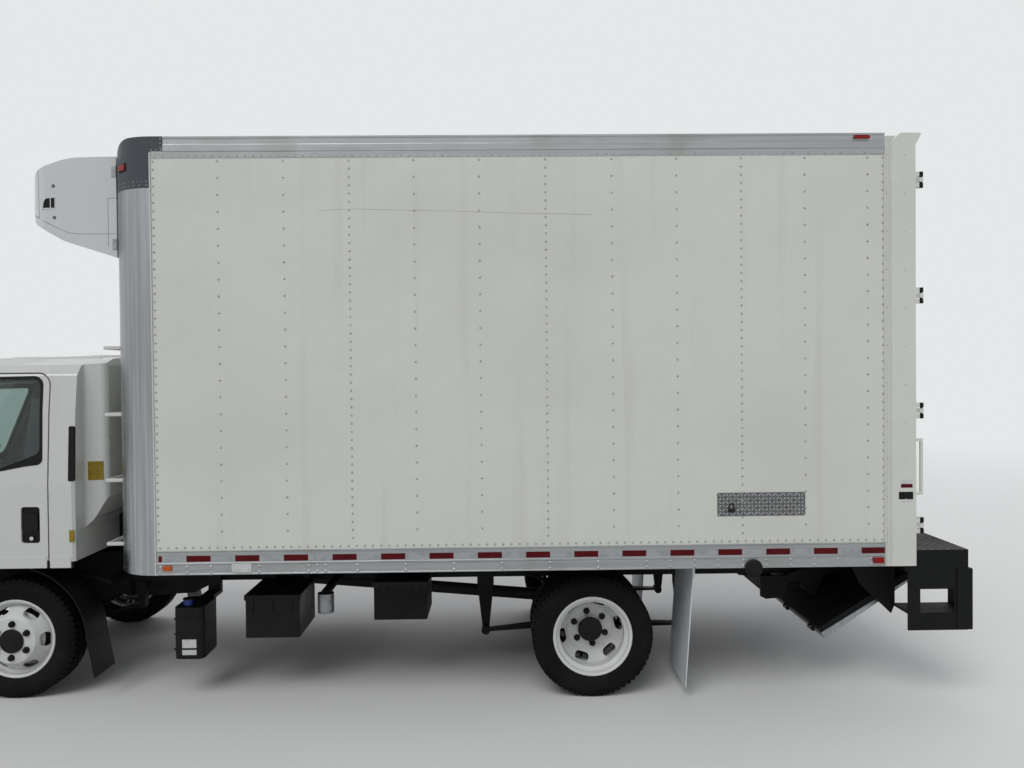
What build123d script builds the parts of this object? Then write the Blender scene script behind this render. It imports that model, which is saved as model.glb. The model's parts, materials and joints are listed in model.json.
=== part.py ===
# A medium refrigerated box truck with a tilting cab and a tuck-under tail-lift.
# Millimetres. Z is up from the road, +Y is the truck's right-hand side.
# All X values are distances behind the front axle. On saving, every piece is
# moved forward by the same amount so that the truck's middle lies at X = 0.

import os
from math import cos, radians, sin

from build123d import *

os.makedirs("parts", exist_ok=True)

# Clearances
seat_gap = 0.3          # between two fixed pieces that rest on each other
pin_play = 0.05         # radial, between a turning pin and its bore
lug_gap = 5.0           # beside a lug that turns next to another

# Whole truck
wheelbase = 3810.0
bumper_reach = 1209.0   # from the front axle to the bumper's face
rear_reach = 6225.0     # from the front axle to the dock bumpers' face
middle_x = (rear_reach - bumper_reach) / 2

# Wheels and tyres
tyre_radius = 397.0
axle_z = tyre_radius
tyre_half_width = 113.0
tread_half_width = 92.0
bead_radius = 247.6
rim_flange_radius = 260.3
rim_half_width = 86.0
rim_lip = 11.0
rim_wall = 8.0
well_radius = 222.0
disc_offset = 127.0     # from the rim's middle plane to the hub's mounting face
disc_wall = 10.0
drum_radius = 178.0
hand_holes = 6
front_hole_turn, rear_hole_turn = 58.0, 12.0
hand_hole_circle = 190.0
hand_hole_size = (96.0, 44.0)   # round the wheel, and toward its middle
front_track = 1666.0
rear_track = 1650.0

# Frame
frame_half_width = 425.5
rail_height = 216.0
rail_flange = 71.0
rail_wall = 8.0
frame_top = 862.0
frame_bottom = frame_top - rail_height
frame_front_x = -1080.0
frame_rear_x = 5720.0

# Box body
box_front_x = 741.0
box_rear_x = 5856.0
box_half_width = 1219.0
box_bottom = 875.0
box_top = 3620.0
corner_radius = 305.0
wall = 76.0
front_wall = 90.0
floor_height = 110.0
floor_ledge = 25.0      # the side walls stand this far below the floor's top
roof_height = 82.0
rail_skin = 5.7         # the rails' ribs stand this far out of the walls
rail_groove = 3.5       # and their plain bands lie this far below the ribs
post_x = 5660.0         # where the side walls end and the rear frame begins
post_width = 88.0
header_height = 120.0
cap_bottom = box_top - 320.0
bottom_rail_top = 1028.0
top_rail_depth = 136.0
cap_rear_x = 1128.0
cap_bow = 160.0         # radius of the nose cap's front edge
wall_top = box_top - 8.0 - roof_height
floor_top = box_bottom + floor_height
panel_y = box_half_width - rail_skin - seat_gap
inner_y = box_half_width - wall
flat_front_y = box_half_width - corner_radius

# Rear box doors
door_wall = 76.0
door_hinge_x = box_rear_x + 36.0
door_hinge_y = box_half_width - 7.0
door_hinge_low = 1133.0
door_hinge_high = box_top - 297.0
door_hinge_heights = [door_hinge_low + (door_hinge_high - door_hinge_low) * step / 3
                      for step in range(4)]
hinge_pin_radius = 8.0
hinge_knuckle_radius = 14.0

# Rear deck and steps
deck_top = 972.0
deck_bottom = 958.0
pad_thick = 25.0        # the dock bumpers behind the deck
deck_rear_x = rear_reach - pad_thick
step_outer_y = box_half_width - 19.0
step_inner_y = step_outer_y - 230.0
step_front_x = box_rear_x - 45.0
step_bottom = 456.0
step_plate = 10.0
step_window = (box_rear_x + 35.0, deck_rear_x - 90.0, 571.0, 720.0)

# Tail-lift
lift_pivot_x = 5240.0
lift_pivot_z = 600.0
lift_hinge_x = 6095.0
lift_hinge_z = 891.0
lift_fold = 149.0       # degrees the platform turns between folded and level
link_drop = 80.0        # from the arm's pins to the link's pins
link_drop_angle = -99.0
platform_half_width = 900.0
platform_start = 110.0
platform_end = 900.0
platform_low = 36.0
platform_thick = 45.0
flap_start = 160.0
flap_hinge_u = 918.0
flap_hinge_gap = 2.5

# Cab
cab_pivot_x = -1090.0
cab_pivot_z = 730.0
cab_half_width = 1015.0
cab_rear_x = 591.0
cab_corner_x = 444.0
cab_floor = 926.0
cab_wall = 50.0
cab_door_front_x = -875.0
cab_door_rear_x = 270.0
cab_door_gap = 9.0
cab_hinge_x = -850.0
cab_hinge_y = cab_half_width - 7.0
cab_hinge_heights = (1060.0, 1320.0)
cab_hinge_pin = 5.0
cab_hinge_knuckle = 7.0


def save(piece, label):
    """Name a piece, put the truck's middle at X = 0 and write the piece out."""
    piece.part.label = label
    placed = piece.part.moved(Location((-middle_x, 0, 0)))
    placed.label = label
    export_step(placed, "parts/" + label + ".step")


def block(x0, x1, y0, y1, z0, z1, mode=Mode.ADD):
    """A plain block between two opposite corners."""
    with Locations(((x0 + x1) / 2, (y0 + y1) / 2, (z0 + z1) / 2)):
        Box(abs(x1 - x0), abs(y1 - y0), abs(z1 - z0), mode=mode)


def both_blocks(x0, x1, y0, y1, z0, z1, mode=Mode.ADD):
    """The same block on the left and on the right."""
    for side in (-1, 1):
        block(x0, x1, side * y0, side * y1, z0, z1, mode)


def side_slab(points, y0, y1, mode=Mode.ADD):
    """A slab with its outline in the side view, from y0 to y1."""
    low, high = min(y0, y1), max(y0, y1)
    with BuildSketch(Plane.XZ.offset(-low)) as outline:
        with BuildLine():
            Polyline(*points, close=True)
        make_face()
    extrude(outline.sketch, amount=-(high - low), mode=mode)


def both_slabs(points, y0, y1, mode=Mode.ADD):
    """The same side-view slab on the left and on the right."""
    for side in (-1, 1):
        side_slab(points, side * y0, side * y1, mode)


def rounded_slab(corners, y0, y1, mode=Mode.ADD):
    """A slab with its outline in the side view; each corner is (x, z, radius)."""
    low, high = min(y0, y1), max(y0, y1)
    with BuildSketch(Plane.XZ.offset(-low)) as outline:
        with BuildLine():
            FilletPolyline(*[(x, z) for x, z, r in corners], radius=[r for x, z, r in corners],
                           close=True)
        make_face()
    extrude(outline.sketch, amount=-(high - low), mode=mode)


def rounded_front(z0, z1, front_x, rear_x, half_y, radius, mode=Mode.ADD):
    """An upright slab whose two front corners are round in plan."""
    with BuildSketch(Plane.XY.offset(z0)) as plan:
        with BuildLine():
            FilletPolyline((rear_x, -half_y), (front_x, -half_y), (front_x, half_y),
                           (rear_x, half_y), radius=(0, radius, radius, 0), close=True)
        make_face()
    extrude(plan.sketch, amount=z1 - z0, mode=mode)


def rail(profile, side, x0, x1):
    """A side rail: its profile is (out from the middle, height)."""
    with BuildSketch(Plane.YZ.offset(x0)) as section:
        with BuildLine():
            Polyline(*[(side * y, z) for y, z in profile], close=True)
        make_face()
    extrude(section.sketch, amount=x1 - x0)


def rod_y(x, z, y0, y1, radius, mode=Mode.ADD):
    """A round bar across the truck, from y0 to y1."""
    low, high = min(y0, y1), max(y0, y1)
    with BuildSketch(Plane.XZ.offset(-low)) as ring:
        with Locations((x, z)):
            Circle(radius)
    extrude(ring.sketch, amount=-(high - low), mode=mode)


def rod_z(x, y, z0, z1, radius, mode=Mode.ADD):
    """An upright round bar."""
    with BuildSketch(Plane.XY.offset(z0)) as ring:
        with Locations((x, y)):
            Circle(radius)
    extrude(ring.sketch, amount=z1 - z0, mode=mode)


def rod_x(y, z, x0, x1, radius, mode=Mode.ADD):
    """A round bar along the truck."""
    with BuildSketch(Plane.YZ.offset(x0)) as ring:
        with Locations((y, z)):
            Circle(radius)
    extrude(ring.sketch, amount=x1 - x0, mode=mode)


def turned(x, points, mode=Mode.ADD):
    """A ring turned about a wheel's axle line; each point is (y, radius)."""
    with BuildSketch(Plane.YZ.offset(x)) as half:
        with BuildLine():
            Polyline(*[(y, axle_z + r) for y, r in points], close=True)
        make_face()
    revolve(half.sketch, axis=Axis((x, 0, axle_z), (0, 1, 0)), mode=mode)


# Frame
rail_inner_y = frame_half_width - rail_flange
web_inner_y = frame_half_width - rail_wall
spring_reach = 710.0    # from the rear axle to each spring eye
cross_members = (-1040.0, 1120.0, 1760.0, 2420.0, wheelbase - spring_reach, wheelbase,
                 wheelbase + spring_reach, 5000.0, 5680.0)
bolt_square_x, bolt_square_z = 2900.0, 760.0
bolt_square = 100.0
bolt_hole_radius = 8.0
with BuildPart() as frame:
    both_blocks(frame_front_x, frame_rear_x, web_inner_y, frame_half_width,
                frame_bottom, frame_top)
    for low in (frame_bottom, frame_top - rail_wall):
        both_blocks(frame_front_x, frame_rear_x, rail_inner_y, web_inner_y + 1,
                    low, low + rail_wall)
    for x in cross_members:
        block(x - 36, x + 36, -web_inner_y - 1, web_inner_y + 1,
              frame_bottom + 40, frame_bottom + 52)
        block(x - 36, x + 36, -web_inner_y - 1, web_inner_y + 1,
              frame_top - 52, frame_top - 40)
        block(x - 6, x + 6, -web_inner_y - 1, web_inner_y + 1,
              frame_bottom + 45, frame_top - 45)
    # Lugs at the front carry the cab's tilt pins.
    tilt_lug = ((frame_front_x - 2, frame_bottom), (frame_front_x + 90, frame_bottom),
                (frame_front_x + 90, frame_top), (frame_front_x - 2, frame_top),
                (cab_pivot_x - 10, cab_pivot_z + 34), (cab_pivot_x - 22, cab_pivot_z + 18),
                (cab_pivot_x - 22, cab_pivot_z - 18), (cab_pivot_x - 10, cab_pivot_z - 34))
    both_slabs(tilt_lug, web_inner_y - 1, frame_half_width + 8)
    for side in (-1, 1):
        rod_y(cab_pivot_x, cab_pivot_z, side * 400, side * 445, 15 + pin_play, Mode.SUBTRACT)
        # Four spare bolt holes in the web, for a stranger's bracket.
        for x in (bolt_square_x - bolt_square / 2, bolt_square_x + bolt_square / 2):
            for z in (bolt_square_z - bolt_square / 2, bolt_square_z + bolt_square / 2):
                rod_y(x, z, side * (web_inner_y - 1), side * (frame_half_width + 1),
                      bolt_hole_radius, Mode.SUBTRACT)
save(frame, "frame")

# Front axle and knuckles
kingpin_y = 715.0
kingpin_radius = 16.0
boss_radius = 32.0
boss_half = 52.0
beam = (((-44, 300), (44, 300), (44, 312), (10, 324), (10, 346), (44, 352), (44, 361),
         (-44, 361), (-44, 352), (-10, 346), (-10, 324), (-44, 312)))
with BuildPart() as front_axle:
    with BuildSketch(Plane.XZ) as section:
        with BuildLine():
            Polyline(*beam, close=True)
        make_face()
    extrude(section.sketch, amount=560, both=True)
    for side in (-1, 1):
        side_y = side * 559
        block(-40, 40, side_y, side * (kingpin_y - 20), axle_z - boss_half + 3, 400)
        block(-40, 40, side * 500, side * 590, 310, 400)
        rod_z(0, side * kingpin_y, axle_z - boss_half, axle_z + boss_half, boss_radius)
        rod_z(0, side * kingpin_y, axle_z - boss_half - 34, axle_z + boss_half + 34,
              kingpin_radius)
save(front_axle, "front_axle")

spindle_radius = 30.0
spindle_reach = 958.0
ear_thick = 27.0
for label, side in (("knuckle_left", -1), ("knuckle_right", 1)):
    with BuildPart() as knuckle:
        for low in (axle_z + boss_half + lug_gap, axle_z - boss_half - lug_gap - ear_thick):
            rod_z(0, side * kingpin_y, low, low + ear_thick, 34)
            block(-34, 34, side * kingpin_y, side * 790, low, low + ear_thick)
            rod_z(0, side * kingpin_y, low - 1, low + ear_thick + 1,
                  kingpin_radius + pin_play, Mode.SUBTRACT)
        block(-50, 50, side * 756, side * 790,
              axle_z - boss_half - lug_gap - ear_thick, axle_z + boss_half + lug_gap + ear_thick)
        rod_y(0, axle_z, side * 780, side * spindle_reach, spindle_radius)
        # The steering arm reaches back from the lower ear.
        low = axle_z - boss_half - lug_gap - ear_thick
        side_slab(((20, low), (150, low + 4), (165, low + 12), (165, low + 22), (20, low + 25)),
                  side * 700, side * 735)
    save(knuckle, label)

# Rear axle
rear_spindle_radius = 42.0
rear_spindle_reach = 860.0
with BuildPart() as rear_axle:
    turned(wheelbase, ((-600, 0), (-600, 62), (-270, 62), (-140, 150), (-60, 172), (60, 172),
                       (140, 150), (270, 62), (600, 62), (600, 0)))
    rod_y(wheelbase, axle_z, -rear_spindle_reach, rear_spindle_reach, rear_spindle_radius)
    rod_x(0, axle_z, wheelbase - 270, wheelbase - 100, 70)
save(rear_axle, "rear_axle")

# Wheels and tyres
tyre_bead_y = rim_half_width - 0.7


def tyre_ring(x, centre_y):
    """One tyre, seated on its rim."""
    seat = bead_radius + seat_gap
    turned(x, ((centre_y - tyre_bead_y, seat), (centre_y - tyre_bead_y, seat + 18),
               (centre_y - tyre_half_width, 325), (centre_y - tyre_half_width + 9, 368),
               (centre_y - tread_half_width, tyre_radius),
               (centre_y + tread_half_width, tyre_radius),
               (centre_y + tyre_half_width - 9, 368), (centre_y + tyre_half_width, 325),
               (centre_y + tyre_bead_y, seat + 18), (centre_y + tyre_bead_y, seat)))


def rim_ring(x, centre_y):
    """One rim: flanges, bead seats and the well between them."""
    lip = rim_half_width + rim_lip
    curl_y, curl_r = rim_half_width + 5, bead_radius - 6
    turned(x, ((centre_y - lip, rim_flange_radius - 4), (centre_y - lip + 3, rim_flange_radius),
               (centre_y - rim_half_width, rim_flange_radius - 1),
               (centre_y - rim_half_width, bead_radius), (centre_y - 55, bead_radius - 2),
               (centre_y - 40, well_radius), (centre_y + 40, well_radius),
               (centre_y + 55, bead_radius - 2), (centre_y + rim_half_width, bead_radius),
               (centre_y + rim_half_width, rim_flange_radius - 1),
               (centre_y + lip - 3, rim_flange_radius), (centre_y + lip, rim_flange_radius - 4),
               (centre_y + curl_y, curl_r), (centre_y + 58, bead_radius - 2 - rim_wall),
               (centre_y + 46, well_radius - rim_wall), (centre_y - 46, well_radius - rim_wall),
               (centre_y - 58, bead_radius - 2 - rim_wall), (centre_y - curl_y, curl_r)))


def wheel_disc(x, centre_y, toward, first_turn):
    """One wheel disc, dished from the rim's well toward the mounting face."""
    face = centre_y + toward * disc_offset
    turned(x, ((centre_y + toward * 30, well_radius - 3), (centre_y + toward * 52, 205),
               (face - toward * 34, 172), (face - toward * 4, 150), (face, 146), (face, 70),
               (face + toward * disc_wall, 70), (face + toward * disc_wall, 149),
               (face + toward * 6, 156), (face - toward * 26, 182),
               (centre_y + toward * 60, 213), (centre_y + toward * 42, well_radius - 3)))
    # Oval hand holes through the sloping part.
    length, width = hand_hole_size
    for step in range(hand_holes):
        turn = first_turn + step * 360 / hand_holes
        spot = Plane(origin=(x + hand_hole_circle * cos(radians(turn)), face,
                             axle_z + hand_hole_circle * sin(radians(turn))),
                     x_dir=(-sin(radians(turn)), 0, cos(radians(turn))), z_dir=(0, -1, 0))
        with BuildSketch(spot) as hole:
            SlotOverall(length, width)
        extrude(hole.sketch, amount=110, both=True, mode=Mode.SUBTRACT)


for label, side in (("left", -1), ("right", 1)):
    centre = side * front_track / 2
    with BuildPart() as tyre_front:
        tyre_ring(0, centre)
    save(tyre_front, "tyre_front_" + label)

    mount_face = centre + side * disc_offset
    with BuildPart() as wheel_front:
        wheel_disc(0, centre, side, front_hole_turn)
        rim_ring(0, centre)
        # Hub and drum, running on the knuckle's spindle.
        turned(0, ((side * 800, 0), (side * 800, drum_radius), (side * 895, drum_radius),
                   (side * 910, 112), (mount_face + side * 9, 112), (mount_face + side * 9, 80),
                   (mount_face + side * 15, 80), (mount_face + side * 15, 0)))
        rod_y(0, axle_z, side * 799, side * (spindle_reach + lug_gap),
              spindle_radius + pin_play, Mode.SUBTRACT)
    save(wheel_front, "wheel_front_" + label)

    outer = side * (rear_track / 2 + disc_offset)
    inner = side * (rear_track / 2 - disc_offset)
    with BuildPart() as tyre_rear:
        tyre_ring(wheelbase, outer)
        tyre_ring(wheelbase, inner)
    save(tyre_rear, "tyre_rear_" + label)

    with BuildPart() as wheel_rear:
        wheel_disc(wheelbase, outer, -side, rear_hole_turn)
        wheel_disc(wheelbase, inner, side, rear_hole_turn)
        rim_ring(wheelbase, outer)
        rim_ring(wheelbase, inner)
        turned(wheelbase, ((side * 612, 0), (side * 612, drum_radius), (side * 780, drum_radius),
                           (side * 800, 112), (side * 836, 112), (side * 836, 88),
                           (side * 878, 80), (side * 885, 70), (side * 885, 0)))
        rod_y(wheelbase, axle_z, side * 611, side * (rear_spindle_reach + lug_gap),
              rear_spindle_radius + pin_play, Mode.SUBTRACT)
    save(wheel_rear, "wheel_rear_" + label)

# Springs
with BuildPart() as leaf_springs:
    # Front: on top of the axle beam, under the rails.
    for side in (-1, 1):
        inner_edge, outer_edge = side * 375, side * 440
        side_slab(((-620, 470), (-300, 402), (-60, 361 + seat_gap), (60, 361 + seat_gap),
                   (300, 402), (620, 470), (620, 484), (300, 420), (160, 402), (60, 400),
                   (-60, 400), (-160, 402), (-300, 420), (-620, 484)), inner_edge, outer_edge)
        for x in (-620, 620):
            rod_y(x, 477, inner_edge, outer_edge, 26)
            side_slab(((x - 40, frame_bottom - seat_gap), (x + 40, frame_bottom - seat_gap),
                       (x + 22, 470), (x - 22, 470)), inner_edge, outer_edge)
        # Rear: under the axle, hung outside the rails.
        inner_edge, outer_edge = side * 447, side * 512
        top = axle_z - 62 - seat_gap
        side_slab([(wheelbase + along, z) for along, z in
                   ((-spring_reach, 272), (-310, top - 40), (-60, top - 44), (60, top - 44),
                    (310, top - 40), (spring_reach, 300), (spring_reach, 314), (310, top - 4),
                    (60, top), (-60, top), (-310, top - 4), (-spring_reach, 286))],
                  inner_edge, outer_edge)
        for x, z in ((wheelbase - spring_reach, 279), (wheelbase + spring_reach, 307)):
            rod_y(x, z, side * (frame_half_width + seat_gap), outer_edge, 30)
            side_slab(((x - 60, 735), (x + 60, 735), (x + 60, 600), (x + 24, z), (x - 24, z),
                       (x - 60, 600)),
                      side * (frame_half_width + seat_gap), side * (frame_half_width + 16))
save(leaf_springs, "leaf_springs")

# Engine, radiator, driveline
engine_half_width = 290.0
with BuildPart() as engine:
    side_slab(((-600, 560), (-420, 470), (300, 470), (470, 560), (470, 900), (380, 1010),
               (-520, 1010), (-600, 900)), -engine_half_width, engine_half_width)
    both_blocks(-120, 0, engine_half_width - 5, rail_inner_y - 6, 700, 790)
save(engine, "engine")

with BuildPart() as radiator:
    block(-900, -820, -330, 330, 560, 910)
    both_blocks(-880, -840, 325, web_inner_y - seat_gap, 700, 760)
save(radiator, "radiator")

with BuildPart() as driveline:
    side_slab(((470 + seat_gap, 470), (900, 490), (1000, 540), (1000, 720), (900, 780),
               (640, 850), (470 + seat_gap, 880)), -170, 170)
    with BuildSketch(Plane.YZ.offset(1000)) as shaft_front:
        with Locations((0, 620)):
            Circle(45)
    with BuildSketch(Plane.YZ.offset(wheelbase - 270 - seat_gap)) as shaft_rear:
        with Locations((0, axle_z)):
            Circle(45)
    loft([shaft_front.sketch, shaft_rear.sketch])
save(driveline, "driveline")

# Tanks and boxes along the frame
web_face = frame_half_width + seat_gap
with BuildPart() as fuel_tank:
    with BuildSketch(Plane.YZ.offset(1420)) as tank_section:
        with Locations((730, 540)):
            RectangleRounded(440, 340, 70)
    extrude(tank_section.sketch, amount=1000)
    for x in (1560, 2240):
        block(x, x + 60, web_face, 520, 560, 760)
        block(x, x + 60, 500, 960, 700, 722)
save(fuel_tank, "fuel_tank")

with BuildPart() as exhaust:
    rod_x(640, 560, 700, 1290, 140)
    rod_x(640, 560, 1289, 1380, 45)
    for x in (800, 1150):
        block(x, x + 50, web_face, 560, 600, 760)
save(exhaust, "exhaust")

with BuildPart() as battery_box:
    block(1524, 1880, -960, -500, 390, 672)
    for x in (1560, 1800):
        block(x, x + 50, -520, -web_face, 560, 780)
save(battery_box, "battery_box")

with BuildPart() as def_tank:
    with BuildSketch(Plane.XY.offset(262)) as tank_plan:
        with Locations((1154, -830)):
            RectangleRounded(194, 290, 40)
    extrude(tank_plan.sketch, amount=340)
    rod_z(1130, -900, 600, 640, 32)
    block(1110, 1200, -700, -web_face, 560, 590)
    block(1110, 1200, -470, -web_face, 560, 760)
    block(1110, 1200, -700, -680, 300, 590)
save(def_tank, "def_tank")

with BuildPart() as equipment_boxes:
    block(2362, 2717, -900, -520, 482, 732)
    for x in (2400, 2620):
        block(x, x + 50, -540, -web_face, 640, 780)
    rod_z(2038, -880, 535, 665, 54)
    block(2010, 2066, -880, -web_face, 655, 680)
save(equipment_boxes, "equipment_boxes")

with BuildPart() as air_intake:
    intake_x = (cab_rear_x + box_front_x) / 2
    rod_z(intake_x, -560, box_bottom - 30, 1180, 60)
    block(intake_x - 45, intake_x + 45, -620, -web_face, 800, 850)
    block(intake_x - 30, intake_x + 30, -520, -250, 1070, 1140)
save(air_intake, "air_intake")

# Front bumper and mudguards
bumper_thick = 45.0
bumper_bottom = 400.0
bumper_top = 680.0
tow_eye_x, tow_eye_z = -1070.0, 530.0
tow_eye_radius = 16.0
tow_eye_thick = 20.0
with BuildPart() as front_bumper:
    with BuildSketch(Plane.XY.offset(bumper_bottom)) as bumper_plan:
        with BuildLine():
            front = -bumper_reach
            Polyline((front, -760), (front, 760), (front + 20, 900), (front + 60, 975),
                     (front + 115, 1005), (front + 115, 950), (front + 85, 930),
                     (front + 70, 880), (front + bumper_thick, 750),
                     (front + bumper_thick, -750), (front + 70, -880), (front + 85, -930),
                     (front + 115, -950), (front + 115, -1005), (front + 60, -975),
                     (front + 20, -900), close=True)
        make_face()
    extrude(bumper_plan.sketch, amount=bumper_top - bumper_bottom)
    both_blocks(-bumper_reach + bumper_thick - 5, frame_front_x - 35, 300, 350,
                560, bumper_top - 25)
    both_blocks(-bumper_reach + bumper_thick - 5, frame_front_x + 100, rail_inner_y + 10,
                rail_inner_y - 40, 600, frame_bottom - seat_gap)
    # Tow eyes below the bumper's brackets.
    for side in (-1, 1):
        eye_y = rail_inner_y - 15
        side_slab(((tow_eye_x - 30, tow_eye_z - 16), (tow_eye_x - 16, tow_eye_z - 32),
                   (tow_eye_x + 16, tow_eye_z - 32), (tow_eye_x + 60, tow_eye_z + 20),
                   (tow_eye_x + 90, 604), (tow_eye_x + 10, 604), (tow_eye_x - 30, tow_eye_z + 20)),
                  side * (eye_y - tow_eye_thick / 2), side * (eye_y + tow_eye_thick / 2))
        rod_y(tow_eye_x, tow_eye_z, side * (eye_y - tow_eye_thick), side * (eye_y + tow_eye_thick),
              tow_eye_radius, Mode.SUBTRACT)
save(front_bumper, "front_bumper")

arch_radius = 490.0
with BuildPart() as mudguards:
    for side in (-1, 1):
        with BuildSketch(Plane.XZ.offset(-min(side * 700, side * 985))) as arch:
            with Locations((0, axle_z)):
                Circle(arch_radius + 6)
                Circle(arch_radius, mode=Mode.SUBTRACT)
            with Locations((0, axle_z - 300)):
                Rectangle(2000, 600, mode=Mode.SUBTRACT)
        extrude(arch.sketch, amount=-285)
        side_slab(((arch_radius, axle_z + 5), (arch_radius + 6, axle_z + 5), (546, 150), (538, 150)),
                  side * 700, side * 985)
        block(arch_radius + 3, 530, side * 700, side * web_face, 700, 730)
        side_slab(((300, 782), (330, 760), (530, 700), (530, 730)), side * 700, side * 712)
save(mudguards, "mudguards")

# Box body
with BuildPart() as cargo_floor:
    floor_front = box_front_x + front_wall + seat_gap
    wall_front = box_front_x + corner_radius + seat_gap
    rounded_front(box_bottom, floor_top, box_front_x + wall + seat_gap, post_x - seat_gap,
                  inner_y - seat_gap, corner_radius - wall - seat_gap)
    block(box_front_x, floor_front, -inner_y, inner_y, box_bottom - 1, floor_top + 1,
          Mode.SUBTRACT)
    both_blocks(wall_front, post_x - seat_gap, inner_y - 1, panel_y, box_bottom,
                floor_top - floor_ledge)
    both_blocks(box_front_x + 150, post_x - 40, frame_half_width - 60, frame_half_width - 6,
                frame_top + seat_gap, box_bottom + 1)
save(cargo_floor, "cargo_floor")

for label, side in (("cargo_wall_left", -1), ("cargo_wall_right", 1)):
    front_x = box_front_x + corner_radius + seat_gap
    with BuildPart() as cargo_wall:
        block(front_x, post_x - seat_gap, side * inner_y, side * panel_y,
              floor_top - floor_ledge + seat_gap, wall_top)
    save(cargo_wall, label)

with BuildPart() as cargo_front_wall:
    block(box_front_x, box_front_x + front_wall, -flat_front_y + seat_gap,
          flat_front_y - seat_gap, box_bottom, cap_bottom - seat_gap)
save(cargo_front_wall, "cargo_front_wall")

with BuildPart() as cargo_corner_posts:
    for side in (-1, 1):
        with BuildSketch(Plane.XY.offset(box_bottom)) as post_plan:
            with Locations((box_front_x + corner_radius, side * flat_front_y)):
                Circle(corner_radius)
                Circle(corner_radius - wall, mode=Mode.SUBTRACT)
            block_y = side * (flat_front_y - 500)
            with Locations((box_front_x + corner_radius, block_y)):
                Rectangle(1000, 1000, mode=Mode.SUBTRACT)
            with Locations((box_front_x + corner_radius + 500, side * flat_front_y)):
                Rectangle(1000, 1000, mode=Mode.SUBTRACT)
        extrude(post_plan.sketch, amount=cap_bottom - seat_gap - box_bottom)
save(cargo_corner_posts, "cargo_corner_posts")

with BuildPart() as nose_cap:
    cap_side_x = box_front_x + corner_radius
    rounded_front(cap_bottom, wall_top + seat_gap, box_front_x, cap_side_x, box_half_width,
                  corner_radius - 1)
    rounded_front(wall_top + seat_gap, box_top, box_front_x, cap_rear_x, box_half_width,
                  corner_radius)
    # The front edge bows back to the roof.
    with BuildSketch(Plane.XZ) as bow:
        with BuildLine():
            Line((box_front_x, box_top - cap_bow), (box_front_x - 10, box_top - cap_bow))
            Line((box_front_x - 10, box_top - cap_bow), (box_front_x - 10, box_top + 10))
            Line((box_front_x - 10, box_top + 10), (box_front_x + cap_bow, box_top + 10))
            Line((box_front_x + cap_bow, box_top + 10), (box_front_x + cap_bow, box_top))
            RadiusArc((box_front_x + cap_bow, box_top), (box_front_x, box_top - cap_bow), -cap_bow)
        make_face()
    extrude(bow.sketch, amount=box_half_width + 10, both=True, mode=Mode.SUBTRACT)
    rounded_front(cap_bottom - 10, wall_top - 60, box_front_x + front_wall, cap_rear_x + 10,
                  inner_y, corner_radius - front_wall, Mode.SUBTRACT)
    block(box_front_x + front_wall, cap_rear_x + 10, -inner_y + 60, inner_y - 60,
          wall_top - 70, wall_top, Mode.SUBTRACT)
save(nose_cap, "nose_cap")

with BuildPart() as cargo_roof:
    block(cap_rear_x + seat_gap, post_x - seat_gap, -panel_y, panel_y,
          wall_top + seat_gap, wall_top + roof_height)
save(cargo_roof, "cargo_roof")

skin_y = panel_y + seat_gap
band_y = box_half_width - rail_groove
# Rail profiles: (out from the middle, height); ribs alternate with plain bands.
bottom_rail = ((skin_y, box_bottom), (box_half_width, box_bottom),
               (box_half_width, box_bottom + 7), (band_y, box_bottom + 9),
               (band_y, box_bottom + 63), (box_half_width, box_bottom + 65),
               (box_half_width, box_bottom + 75), (band_y, box_bottom + 77),
               (band_y, bottom_rail_top - 10), (box_half_width - 1, bottom_rail_top - 7),
               (box_half_width - 1, bottom_rail_top), (skin_y, bottom_rail_top))
top_rail_low = box_top - top_rail_depth
top_rail_lip = ((skin_y, top_rail_low), (band_y, top_rail_low), (band_y, box_top - 97),
                (skin_y, box_top - 97))
top_rail = ((skin_y, box_top - 97), (band_y, box_top - 97), (box_half_width, box_top - 94),
            (box_half_width, box_top - 53), (band_y, box_top - 49), (band_y, box_top - 16),
            (box_half_width, box_top - 12), (box_half_width, box_top),
            (panel_y - 60, box_top), (panel_y - 60, wall_top + roof_height + seat_gap),
            (skin_y, wall_top + roof_height + seat_gap))
with BuildPart() as cargo_rails:
    for side in (-1, 1):
        rail(bottom_rail, side, box_front_x + corner_radius + seat_gap, post_x - seat_gap)
        rail(top_rail_lip, side, box_front_x + corner_radius + seat_gap, post_x - seat_gap)
        rail(top_rail, side, cap_rear_x + seat_gap, post_x - seat_gap)
save(cargo_rails, "cargo_rails")

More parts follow.
